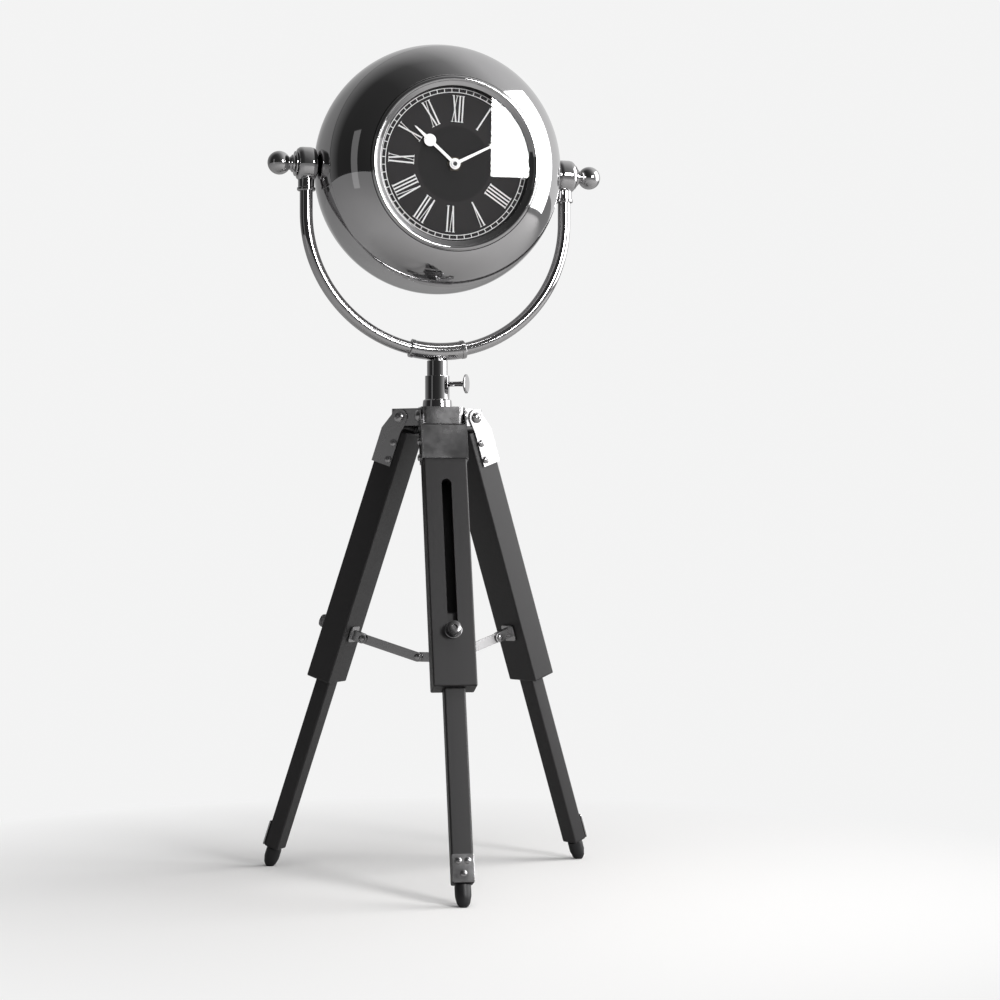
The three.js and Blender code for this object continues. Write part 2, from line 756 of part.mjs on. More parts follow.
// The yoke's centre line, by distance: down one arm, round the half circle and up the other arm.
class YokeLine extends THREE.Curve {
  constructor(from, to) {
    super();
    this.from = from;
    this.to = to;
  }

  getPoint(share, target = new THREE.Vector3()) {
    const along = this.from + (this.to - this.from) * share;
    const arc = along / yokeRadius;
    if (Math.abs(arc) <= Math.PI / 2)
      return target.set(yokeRadius * Math.sin(arc), 0, -yokeDrop - yokeRadius * Math.cos(arc));
    const climb = Math.abs(along) - (yokeRadius * Math.PI) / 2;
    return target.set(Math.sign(along) * yokeRadius, 0, climb - yokeDrop);
  }
}

function swept(radius, halfLength, steps) {
  const outline = regularOutline(radius, tubeSides);
  const extrudePath = new YokeLine(-halfLength, halfLength);
  return new THREE.ExtrudeGeometry(outline, { steps, extrudePath, bevelEnabled: false });
}

function yokeTube() {
  const halfLength = (yokeRadius * Math.PI) / 2 + yokeDrop - tubeEndDrop;
  return piece("yoke_tube", swept(yokeTubeRadius, halfLength, yokeSteps), polishedMetal);
}

function yokeBoss() {
  const half = bossArcLength / 2;
  const sleeve = swept(bossRadius, half, bossSteps);
  const rings = [-1, 1].map((side) => {
    const extrudePath = new YokeLine(side * half - bossRingLength / 2, side * half + bossRingLength / 2);
    return new THREE.ExtrudeGeometry(regularOutline(bossRingRadius, tubeSides), {
      steps: 1,
      extrudePath,
      bevelEnabled: false,
    });
  });
  const spigot = rod(spigotRadius, -bossDrop - spigotLength, -bossDrop - bossRadius / 2, "z", smallSides);
  const bore = swept(yokeTubeRadius + clearance, half + bossRingLength, bossSteps);
  return piece("yoke_boss", cut(join(sleeve, ...rings, spigot), bore), polishedMetal);
}

// One end of the yoke, made on +X; the left one is turned half round about the post's axis.
function yokeEye(name) {
  const barrel = turned(
    [
      [eyeInnerEnd, trunnionRadius + clearance],
      [eyeInnerEnd, eyeRadius - eyeEdge],
      [eyeInnerEnd + eyeEdge, eyeRadius],
      [eyeOuterEnd - eyeEdge, eyeRadius],
      [eyeOuterEnd, eyeRadius - eyeEdge],
      [eyeOuterEnd, trunnionRadius + clearance],
    ],
    "x",
  );
  const ringTop = eyeRingHeight - eyeNeckBottom;
  const neckTop = -(eyeRadius - eyeEdge);
  const neck = turned(
    [
      [-eyeNeckBottom, 0],
      [-eyeNeckBottom, eyeRingRadius],
      [ringTop, eyeRingRadius],
      [ringTop, eyeNeckRadius],
      [neckTop, eyeNeckRadius],
      [neckTop, 0],
    ],
    "z",
    smallSides,
  ).translate(yokeRadius, 0, 0);
  const socketBottom = -eyeNeckBottom - overrun;
  const socket = rod(yokeTubeRadius + clearance, socketBottom, clearance - tubeEndDrop, "z", smallSides);
  socket.translate(yokeRadius, 0, 0);
  return piece(name, cut(join(barrel, neck), socket), polishedMetal);
}

function washer(name) {
  const bore = trunnionRadius + clearance;
  const outline = [
    [washerInnerEnd, bore],
    [washerInnerEnd, washerRadius],
    [washerOuterEnd, washerRadius],
    [washerOuterEnd, bore],
  ];
  return piece(name, turned(outline, "x"), polishedMetal);
}

function ballKnob(name) {
  const bore = trunnionRadius + clearance;
  const centre = knobBallCentre;
  const neckEnd = knobInnerEnd + knobNeckLength;
  const start = Math.PI - Math.asin(knobNeckRadius / knobBallRadius);
  const ball = arcPoints(centre, 0, knobBallRadius, start, 0, ballSteps);
  ball[ball.length - 1][1] = 0;
  const outline = [
    [centre - knobBoreEnd, 0],
    [centre - knobBoreEnd, bore],
    [knobInnerEnd, bore],
    [knobInnerEnd, knobNeckRadius],
    [Math.min(neckEnd, ball[0][0]), knobNeckRadius],
    ...ball.slice(1),
  ];
  return piece(name, turned(outline, "x"), polishedMetal);
}

function trunnion(name) {
  const headFrom = headRadius - shellWall - trunnionBossDepth - clearance - trunnionHeadGauge;
  const headTo = headFrom + trunnionHeadGauge;
  const end = knobBallCentre - knobBoreEnd - clearance;
  const outline = [
    [headFrom, 0],
    [headFrom, trunnionHeadRadius],
    [headTo, trunnionHeadRadius],
    [headTo, trunnionRadius],
    [end, trunnionRadius],
    [end, 0],
  ];
  return piece(name, turned(outline, "x", smallSides), polishedMetal);
}

// Pieces made on +X, turned half round about the post's axis for the left side.
function bothSides(make, stem) {
  const right = make(`${stem}_right`);
  const left = make(`${stem}_left`);
  left.rotation.z = Math.PI;
  return [right, left];
}

// The front shell's section: an arc of its own radius from the seam to the bezel's seat.
const seamRadius = Math.sqrt(headRadius ** 2 - seamForward ** 2);
const seatEdgeRadius = bezelRadius + 2 * clearance;
const seamEdge = [seamForward + clearance, seamRadius];
const frontArc = arcThrough(seamEdge, [bezelSeatForward, seatEdgeRadius], frontArcRadius);

// The arc of a given radius through two outline points, its centre on the axis side of their chord.
function arcThrough([s0, r0], [s1, r1], radius) {
  const chord = Math.hypot(s1 - s0, r1 - r0);
  const depth = Math.sqrt(radius ** 2 - (chord / 2) ** 2);
  const along = (s0 + s1) / 2 - (depth * (r0 - r1)) / chord;
  const out = (r0 + r1) / 2 - (depth * (s1 - s0)) / chord;
  return { along, out, radius, from: Math.atan2(r0 - out, s0 - along), to: Math.atan2(r1 - out, s1 - along) };
}

function frontShell() {
  const { along, out, radius, from, to } = frontArc;
  const collarOuter = bezelRadius + clearance + shellWall;
  const seatFront = dialForward - dialGauge - clearance;
  const inner = radius - shellWall;
  const innerEnd = Math.asin((collarOuter - out) / inner);
  const innerSeam = Math.acos((seamForward + clearance - along) / inner);
  const outline = [
    ...arcPoints(along, out, radius, from, to, frontArcSteps),
    [bezelSeatForward, bezelRadius + clearance],
    [seatFront, bezelRadius + clearance],
    [seatFront, dialSeatRadius],
    [seatFront - dialSeatGauge, dialSeatRadius],
    [seatFront - dialSeatGauge, collarOuter],
    ...arcPoints(along, out, inner, innerEnd, innerSeam, innerArcSteps),
  ];
  return piece("front_shell", turned(outline, "-y", shellSides), polishedMetal);
}

function rearShell() {
  const inner = headRadius - shellWall;
  const lipEnd = seamForward + lipLength;
  const arcInner = frontArc.radius - shellWall;
  const lipOuter = frontArc.out + Math.sqrt(arcInner ** 2 - (lipEnd - frontArc.along) ** 2) - clearance;
  const seam = Math.acos(seamForward / headRadius);
  const opening = Math.PI - Math.asin(rearOpeningRadius / headRadius);
  const seatRadius = rearOpeningRadius - coverSeatWidth;
  const seatInner = inner - coverSeatWall;
  const flareStart = Math.acos((seamForward - lipFlare) / inner);
  const seatEnd = Math.PI - Math.asin((rearOpeningRadius + coverSeatWidth) / seatInner);
  const innerRestart = Math.PI - Math.asin((rearOpeningRadius + 2 * coverSeatWidth) / inner);
  const outline = [
    ...arcPoints(0, 0, headRadius, seam, opening, rearArcSteps),
    [-Math.sqrt(inner ** 2 - rearOpeningRadius ** 2), rearOpeningRadius],
    [-Math.sqrt(inner ** 2 - seatRadius ** 2), seatRadius],
    [-Math.sqrt(seatInner ** 2 - seatRadius ** 2), seatRadius],
    [seatInner * Math.cos(seatEnd), seatInner * Math.sin(seatEnd)],
    ...arcPoints(0, 0, inner, innerRestart, flareStart, innerArcSteps),
    [seamForward - lipLength, lipOuter - lipWall],
    [lipEnd, lipOuter - lipWall],
    [lipEnd, lipOuter],
    [seamForward, lipOuter],
  ];
  const shell = turned(outline, "-y", shellSides);
  const bossInner = inner - trunnionBossDepth;
  const bosses = ["x", "-x"].map((axis) => rod(trunnionBossRadius, bossInner, inner + shellWall / 2, axis));
  const bores = ["x", "-x"].map((axis) =>
    rod(trunnionRadius + clearance, bossInner - overrun, headRadius + overrun, axis, smallSides),
  );
  return piece("rear_shell", cut(join(shell, ...bosses), ...bores), polishedMetal);
}

function rearCover() {
  const inner = headRadius - shellWall + clearance;
  const rim = rearOpeningRadius - clearance;
  const outerEdge = Math.PI - Math.asin(rim / headRadius);
  const innerEdge = Math.PI - Math.asin(rim / inner);
  const pullBase = Math.PI - Math.asin(coverPullRadius / headRadius);
  const pullEnd = -headRadius - coverPullHeight;
  const innerArc = arcPoints(0, 0, inner, Math.PI, innerEdge, coverArcSteps);
  innerArc[0][1] = 0;
  const outline = [
    ...innerArc,
    ...arcPoints(0, 0, headRadius, outerEdge, pullBase, coverArcSteps),
    [pullEnd, coverPullRadius],
    [pullEnd, 0],
  ];
  return piece("rear_cover", turned(outline, "-y", shellSides), polishedMetal);
}

function bezelRing() {
  const back = dialForward + clearance;
  const outline = [
    [back, bezelBore],
    [back, bezelRadius],
    [bezelSeatForward + bezelStep, bezelRadius],
    [bezelSeatForward + bezelStep, bezelRadius - bezelStep],
    [bezelFront - bezelStep, bezelRadius - bezelStep],
    [bezelFront, bezelRadius - 2 * bezelStep],
    [bezelFront, bezelSlopeRadius + bezelStep],
    [bezelFront - bezelStep, bezelSlopeRadius],
    [glassForward + clearance + bezelLipGauge, bezelLipRadius],
    [glassForward + clearance, bezelLipRadius],
    [glassForward + clearance, bezelBore],
  ];
  return piece("bezel_ring", turned(outline, "-y", shellSides), polishedMetal);
}

function dialPlate() {
  const bore = nozzleRadius + clearance;
  const back = dialForward - dialGauge;
  const outline = [
    [back, bore],
    [back, dialRadius],
    [dialForward, dialRadius],
    [dialForward, bore],
  ];
  return piece("dial_plate", turned(outline, "-y", shellSides), dialBlack);
}

function glass() {
  const pane = rod(bezelBore - clearance, glassForward - glassGauge, glassForward, "-y", shellSides);
  return piece("glass", pane, clearGlass);
}

const movementFront = dialForward - dialGauge - clearance;
const movementBack = movementFront - movementDepth;
const batteryForward = movementFront - bayFloor - clearance - batteryRadius;

function movementCase() {
  const half = movementSize / 2;
  const body = block(-half, half, -movementFront, -movementBack, -half, half);
  const bayHalfLength = batteryLength / 2 + batteryNubLength + clearance;
  const bayHalfHeight = batteryRadius + clearance;
  const bay = block(
    -bayHalfLength,
    bayHalfLength,
    bayFloor - movementFront,
    overrun - movementBack,
    -batteryDrop - bayHalfHeight,
    bayHalfHeight - batteryDrop,
  );
  const nozzle = rod(nozzleRadius, movementFront - bayFloor, nozzleForward, "-y", smallSides);
  const arbor = rod(arborRadius, movementFront - bayFloor, arborForward, "-y", tinySides);
  const stemEnd = movementBack + settingStemLength + clearance;
  const stemHole = rod(settingStemRadius + clearance, movementBack - overrun, stemEnd, "-y", tinySides);
  return piece("movement_case", cut(join(body, nozzle, arbor), bay, stemHole), blackPlastic);
}

function battery() {
  const half = batteryLength / 2;
  const outline = [
    [-half, 0],
    [-half, batteryRadius],
    [half, batteryRadius],
    [half, batteryNubRadius],
    [half + batteryNubLength, batteryNubRadius],
    [half + batteryNubLength, 0],
  ];
  return piece("battery", turned(outline, "x").translate(0, -batteryForward, -batteryDrop), cellJacket);
}

function movementNut() {
  const hexagon = regularOutline(nutRadius, 6);
  const back = dialForward + clearance;
  const nut = extruded(hexagon, nutGauge).rotateX(Math.PI / 2).translate(0, -back, 0);
  const bore = rod(nozzleRadius + clearance, back - overrun, back + nutGauge + overrun, "-y", smallSides);
  return piece("movement_nut", cut(nut, bore), brass);
}

function settingKnob() {
  const front = movementBack - clearance;
  const outline = [
    [front - settingKnobLength, 0],
    [front - settingKnobLength, settingKnobRadius],
    [front, settingKnobRadius],
    [front, settingStemRadius],
    [movementBack + settingStemLength, settingStemRadius],
    [movementBack + settingStemLength, 0],
  ];
  return piece("setting_knob", turned(outline, "-y", smallSides), blackPlastic);
}

// A hand pointing up at twelve, its back at "back" and its front at "front".
function handBody(outline, back, front) {
  return uprightPlate(outline, -front, -back);
}

function handBlade(length, width) {
  const blade = new THREE.Shape();
  blade.moveTo(-width / 2, 0);
  blade.lineTo(width / 2, 0);
  blade.lineTo(handTipWidth / 2, length);
  blade.lineTo(-handTipWidth / 2, length);
  return blade;
}

function hourHand() {
  const back = hourHandForward - handGauge;
  const blade = handBody(handBlade(hourHandLength, hourHandWidth), back, hourHandForward);
  const bulb = rod(hourBulbRadius, back, hourHandForward, "-y").translate(0, 0, hourBulbForward);
  const boss = rod(handHubRadius, back, hourHandForward, "-y");
  const bore = rod(arborRadius + clearance, back - overrun, hourHandForward + overrun, "-y", tinySides);
  const mesh = piece("hour_hand", cut(join(blade, bulb, boss), bore), satinSilver);
  mesh.rotation.y = 2 * Math.PI * ((clockHour + clockMinute / 60) / 12) + radians(dialTurn + hourHandLead);
  return mesh;
}

function minuteHand() {
  const back = minuteHandForward - handGauge;
  const blade = handBody(handBlade(minuteHandLength, minuteHandWidth), back, minuteHandForward);
  const boss = rod(handHubRadius, back, minuteBossForward, "-y");
  const bore = rod(arborRadius + clearance, back - overrun, minuteBossForward + overrun, "-y", tinySides);
  const mesh = piece("minute_hand", cut(join(blade, boss), bore), satinSilver);
  mesh.rotation.y = 2 * Math.PI * (clockMinute / 60) + radians(dialTurn);
  return mesh;
}

function head() {
  const made = group(
    frontShell(),
    rearShell(),
    rearCover(),
    bezelRing(),
    glass(),
    dialPlate(),
    movementCase(),
    battery(),
    movementNut(),
    settingKnob(),
    hourHand(),
    minuteHand(),
    ...bothSides(trunnion, "trunnion"),
  );
  made.rotation.x = radians(tiltAngle);
  return made;
}

function yoke() {
  const made = group(
    head(),
    yokeTube(),
    yokeBoss(),
    ...bothSides(yokeEye, "yoke_eye"),
    ...bothSides(washer, "washer"),
    ...bothSides(ballKnob, "ball_knob"),
  );
  made.position.z = trunnionHeight;
  made.rotation.z = radians(swivelAngle);
  return made;
}

// The clock, moved so that the origin is at the middle of its box's bottom, on the table.
const clock = group(
  hub(),
  clampSleeve(),
  thumbscrew(),
  postTube(),
  spreaderHub(),
  yoke(),
  ...Object.keys(legAzimuths).map(leg),
);
clock.updateMatrixWorld(true);
const box = new THREE.Box3().setFromObject(clock, true);
clock.position.set(-(box.min.x + box.max.x) / 2, -(box.min.y + box.max.y) / 2, -box.min.z);

export default clock;
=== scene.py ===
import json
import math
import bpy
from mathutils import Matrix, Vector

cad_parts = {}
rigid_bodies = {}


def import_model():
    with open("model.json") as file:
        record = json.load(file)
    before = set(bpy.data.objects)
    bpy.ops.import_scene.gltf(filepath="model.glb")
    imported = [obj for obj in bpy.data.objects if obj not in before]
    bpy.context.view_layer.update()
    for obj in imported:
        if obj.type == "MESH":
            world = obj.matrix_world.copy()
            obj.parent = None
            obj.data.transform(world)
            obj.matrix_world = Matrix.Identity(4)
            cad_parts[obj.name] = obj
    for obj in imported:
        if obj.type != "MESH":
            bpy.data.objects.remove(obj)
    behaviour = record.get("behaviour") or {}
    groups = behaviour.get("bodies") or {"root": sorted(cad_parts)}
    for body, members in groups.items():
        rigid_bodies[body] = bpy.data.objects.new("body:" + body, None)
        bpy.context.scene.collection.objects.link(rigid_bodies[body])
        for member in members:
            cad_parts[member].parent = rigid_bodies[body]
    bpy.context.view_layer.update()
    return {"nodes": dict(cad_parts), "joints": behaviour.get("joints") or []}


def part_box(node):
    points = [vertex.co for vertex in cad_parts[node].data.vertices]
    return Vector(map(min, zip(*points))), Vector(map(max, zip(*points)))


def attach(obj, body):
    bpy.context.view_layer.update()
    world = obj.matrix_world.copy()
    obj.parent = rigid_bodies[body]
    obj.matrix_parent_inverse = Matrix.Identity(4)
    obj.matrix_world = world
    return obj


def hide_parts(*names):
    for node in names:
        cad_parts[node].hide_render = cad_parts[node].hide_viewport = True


bl_info = {
    "name": "Tripod table clock",
    "version": (1, 0, 0),
    "blender": (4, 5, 0),
    "location": "View3D > Sidebar > Tripod clock",
    "description": "Builds the looks of a tripod table clock on its packed model",
    "category": "Object",
}

import bmesh
import bpy
from bpy.props import FloatProperty, FloatVectorProperty, IntProperty, PointerProperty
from mathutils import Matrix, Vector

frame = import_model()

MM = 0.001
SIDES = ("front", "right", "left")
HANDS = ("right", "left")
JOINTS = {joint["name"]: joint for joint in frame["joints"]}


# Places read from the packed model


def pin_of(joint):
    return Vector(JOINTS[joint]["pos_m"])


def axis_of(joint):
    return Vector(JOINTS[joint]["axis"]).normalized()


def place(origin, along, across):
    """A local frame: its Z runs along, its X across."""
    z = Vector(along).normalized()
    y = z.cross(Vector(across)).normalized()
    x = y.cross(z)
    matrix = Matrix((x, y, z)).transposed().to_4x4()
    matrix.translation = origin
    return matrix


HEAD = place(pin_of("head_tilt"), -axis_of("minute_hand_turn"), axis_of("head_tilt"))
YOKE = place(pin_of("head_tilt"), (0, 0, 1), axis_of("head_tilt"))
POST = place((pin_of("yoke_swivel").x, pin_of("yoke_swivel").y, 0), (0, 0, 1), (1, 0, 0))
TRUNNION = {
    "right": place(pin_of("head_tilt"), axis_of("head_tilt"), (0, 0, -1)),
    "left": place(pin_of("head_tilt"), -axis_of("head_tilt"), (0, 0, -1)),
}
SCREW = place(
    POST.translation + Vector((0, 0, pin_of("thumbscrew_turn").z)), axis_of("thumbscrew_turn"), (0, 0, 1)
)
LEG = {
    side: place(pin_of(f"leg_{side}_fold"), axis_of(f"foot_{side}_slide"), axis_of(f"clamp_{side}_turn"))
    for side in SIDES
}


def clamp_place(side):
    """The clamp knob's frame, on its axis at the leg's middle: Z out of the leg's face, X up the leg."""
    out = axis_of(f"clamp_{side}_turn")
    up = axis_of(f"foot_{side}_slide")
    pin = pin_of(f"clamp_{side}_turn")
    middle = pin - out * (pin - LEG[side].translation).dot(out)
    return place(middle, out, up)


def turned_out(side):
    """A turn about the post's axis that brings X out to a leg."""
    out = LEG[side].translation - POST.translation
    return Matrix.Rotation(math.atan2(out.y, out.x), 4, "Z")


# Properties of the clock


def length(name, description, millimetres, least=0.0):
    return FloatProperty(
        name=name,
        description=description,
        default=millimetres * MM,
        min=least,
        precision=5,
        subtype="DISTANCE",
        unit="LENGTH",
    )


def angle(name, description, degrees):
    return FloatProperty(
        name=name, description=description, default=math.radians(degrees), subtype="ANGLE", unit="ROTATION"
    )


def colour(name, description, value):
    return FloatVectorProperty(
        name=name, description=description, default=value, min=0.0, max=1.0, size=3, subtype="COLOR"
    )


def factor(name, description, value):
    return FloatProperty(
        name=name, description=description, default=value, min=0.0, max=1.0, subtype="FACTOR"
    )


class ClockFinishes(bpy.types.PropertyGroup):
    """Colours and finishes of the clock."""

    chrome: colour("Chrome", "Colour of the polished plated metal", (0.50, 0.495, 0.50))
    chrome_roughness: factor("Chrome roughness", "How blurred the plated metal's reflections are", 0.035)
    worn: colour("Worn chrome", "Colour of the brackets, bolts and braces", (0.44, 0.435, 0.44))
    worn_roughness: factor("Worn roughness", "How blurred the brackets' reflections are", 0.22)
    knurled: colour("Knurled metal", "Colour of the clamp knobs", (0.30, 0.295, 0.30))
    wood: colour("Black wood", "Paint on the legs", (0.020, 0.0188, 0.0196))
    wood_roughness: factor("Wood roughness", "Sheen of the paint on the legs", 0.42)
    rubber: colour("Rubber", "Colour of the feet", (0.012, 0.012, 0.013))
    dial: colour("Dial", "Charcoal of the dial", (0.028, 0.026, 0.027))
    dial_middle: colour("Dial middle", "Darker middle of the dial", (0.018, 0.017, 0.0175))
    print: colour("Print", "Off-white of the numerals and the minute track", (0.86, 0.85, 0.85))
    silver: colour("Hands", "Satin silver of the hands", (0.60, 0.59, 0.59))
    plastic: colour("Black plastic", "Colour of the movement", (0.018, 0.018, 0.019))
    nut: colour("Nut", "Blackened brass of the movement's nut", (0.055, 0.048, 0.040))
    cell: colour("Cell", "Wrap of the movement's cell", (0.16, 0.18, 0.19))


class HeadSizes(bpy.types.PropertyGroup):
    """Sizes of the head, measured from its centre and forward along the dial's axis."""

    radius: length("Ball radius", "Outside radius of the ball", 96.3)
    wall: length("Shell wall", "Thickness of the pressed shells", 1.8)
    seam: length("Seam", "Distance forward to the seam between the shells", 28.5)
    front_arc: length("Front arc", "Radius of the front shell's section", 50)
    lip: length("Lip", "Length of the rear shell's lip inside the front one", 5)
    opening: length("Rear opening", "Radius of the opening at the back", 38)
    cover_pull: length("Cover pull", "Radius of the rear cover's pull", 7)
    cover_pull_height: length("Cover pull height", "Height of the rear cover's pull", 5.5)
    dial_forward: length("Dial forward", "Distance forward to the dial's face", 48.3)
    dial_gauge: length("Dial gauge", "Thickness of the dial", 1.2)
    dial_radius: length("Dial radius", "Radius of the dial", 61)
    dial_middle: length("Dial middle", "Radius of the dial's darker middle", 28.5)
    bezel_radius: length("Bezel radius", "Outside radius of the bezel", 66)
    bezel_front: length("Bezel front", "Distance forward to the bezel's front", 57.2)
    bezel_seat: length("Bezel seat", "Distance forward to the end of the front shell", 55.2)
    bezel_bore: length("Bezel bore", "Bore of the bezel round the glass", 61.3)
    bezel_lip: length("Bezel lip", "Inner radius of the lip in front of the glass", 58.6)
    bezel_slope: length("Bezel slope", "Radius where the bezel's slope ends", 61.6)
    glass_forward: length("Glass forward", "Distance forward to the front of the glass", 54.1)
    glass_gauge: length("Glass gauge", "Thickness of the glass", 1.5)
    clearance: length("Clearance", "Gap between neighbouring pieces", 0.3)


class DialSizes(bpy.types.PropertyGroup):
    """Sizes of the dial's print and the hands."""

    turn: angle("Turn", "How far the dial sits turned clockwise", 3)
    hour_lead: angle("Hour hand lead", "How far ahead the hour hand is pressed on", 2.5)
    hour: IntProperty(name="Hour", description="Hour that the hands show", default=10, min=1, max=12)
    minute: IntProperty(name="Minute", description="Minute that the hands show", default=10, min=0, max=59)
    track_inner: length("Track inner", "Inner ring of the minute track", 53.9)
    track_outer: length("Track outer", "Outer ring of the minute track", 56.9)
    track_line: length("Track line", "Width of the track's rings", 0.55)
    tick: length("Tick", "Width of a minute mark", 0.6)
    numeral_inner: length("Numeral inner", "Inner radius of the numerals", 31.6)
    numeral_outer: length("Numeral outer", "Outer radius of the numerals", 51.6)
    letter_i: length("Letter I", "Room along the numeral for an I", 2.55)
    letter_v: length("Letters V and X", "Room along the numeral for a V or an X", 4.9)
    thick: length("Thick stroke", "Width of a thick stroke", 1.15)
    thin: length("Thin stroke", "Width of a thin stroke", 0.5)
    serif: length("Serif", "Thickness of a serif", 0.45)
    print_height: length("Print height", "Thickness of the print", 0.08)
    hour_hand: length("Hour hand", "Length of the hour hand", 42)
    hour_bulb: length("Hour bulb", "Radius of the hour hand's bulb", 4.7)
    hour_bulb_out: length("Hour bulb place", "Distance from the centre to the bulb", 26)
    hour_width: length("Hour hand width", "Width of the hour hand at its root", 2.4)
    minute_hand: length("Minute hand", "Length of the minute hand", 52)
    minute_width: length("Minute hand width", "Width of the minute hand at its root", 2.5)
    hub: length("Hand hub", "Radius of the hands' hubs", 4.2)
    tip: length("Hand tip", "Width of a hand's tip", 1)
    gauge: length("Hand gauge", "Thickness of a hand", 0.6)
    hour_forward: length("Hour hand forward", "Distance forward to the hour hand's face", 50.7)
    minute_forward: length("Minute hand forward", "Distance forward to the minute hand's face", 51.6)
    boss_forward: length("Boss forward", "Distance forward to the minute hand's boss", 52.2)


class YokeSizes(bpy.types.PropertyGroup):
    """Sizes of the yoke, its eyes and the ball knobs."""

    radius: length("Yoke radius", "Radius of the yoke's centre line", 104.3)
    drop: length("Yoke drop", "From the trunnion axis down to the half circle's centre", 37.2)
    tube: length("Tube radius", "Radius of the bent tube", 5)
    tube_end: length("Tube end", "From the trunnion axis down to the tube's end", 16)
    boss: length("Boss radius", "Radius of the sleeve at the bottom", 6.9)
    boss_length: length("Boss length", "Length of the sleeve along the tube", 41)
    ring: length("Ring radius", "Radius of the sleeve's end rings", 7.3)
    ring_length: length("Ring length", "Length of an end ring", 3.4)
    spigot: length("Spigot radius", "Radius of the spigot in the post", 5)
    spigot_length: length("Spigot length", "Length of the spigot", 11.8)
    eye: length("Eye radius", "Radius of an eye", 13)
    eye_length: length("Eye length", "Length of an eye along the trunnion", 15.2)
    neck: length("Neck radius", "Radius of an eye's neck", 6.3)
    neck_bottom: length("Neck bottom", "From the trunnion axis down to the neck's end", 20.5)
    neck_ring: length("Neck ring", "Radius of the ring on the neck", 7.1)
    neck_ring_height: length("Neck ring height", "Height of the ring on the neck", 2.6)
    trunnion: length("Trunnion radius", "Radius of the trunnion studs", 4)
    washer: length("Washer radius", "Radius of the washers", 9.5)
    washer_gauge: length("Washer gauge", "Thickness of a washer", 1.2)
    knob_neck: length("Knob neck", "Radius of a ball knob's neck", 5.4)
    knob_neck_length: length("Knob neck length", "Length of a ball knob's neck", 4.4)
    knob: length("Knob radius", "Radius of a ball knob", 9)
    knob_span: length("Knob span", "From the head's centre to a knob's end", 134.3)


class PostSizes(bpy.types.PropertyGroup):
    """Sizes of the post, its clamp and the hub."""

    radius: length("Post radius", "Radius of the post", 8.1)
    wall: length("Post wall", "Wall of the post", 2.2)
    sleeve_wall: length("Sleeve wall", "Wall of the clamp sleeve", 1.2)
    flange: length("Flange radius", "Radius of the sleeve's flange", 11.8)
    flange_top: length("Flange top radius", "Radius at the top of the flange", 11.2)
    flange_height: length("Flange height", "Height of the flange", 6.8)
    slit: length("Slit", "Width of the slit in the clamp sleeve at its upper end", 2.6)
    slit_foot: length("Slit foot", "Width of the slit at its lower end", 0.7)
    slit_turn: angle("Slit turn", "How far the slit lies from the thumbscrew, towards the front", 17)
    screw: length("Screw radius", "Radius of the thumbscrew's stem", 1.9)
    screw_reach: length("Screw reach", "From the post's axis to the thumbscrew's end", 24.4)
    screw_head: length("Screw head", "Radius of the thumbscrew's head", 7.5)
    screw_head_gauge: length("Screw head gauge", "Thickness of the thumbscrew's head", 1.8)
    hub_core: length("Hub core", "Radius of the hub's core", 18)
    hub_reach: length("Hub reach", "From the post's axis to a lobe's end", 33)
    hub_height: length("Hub height", "Height of the hub", 13.5)
    hub_corner: length("Hub corner", "Radius of a lobe's corners", 4)
    bolt: length("Pivot bolt", "Radius of a pivot bolt's shank", 2.5)
    bolt_head: length("Pivot bolt head", "Radius of a pivot bolt's head", 4.2)
    bolt_head_height: length("Pivot bolt head height", "Height of a pivot bolt's head", 2.6)


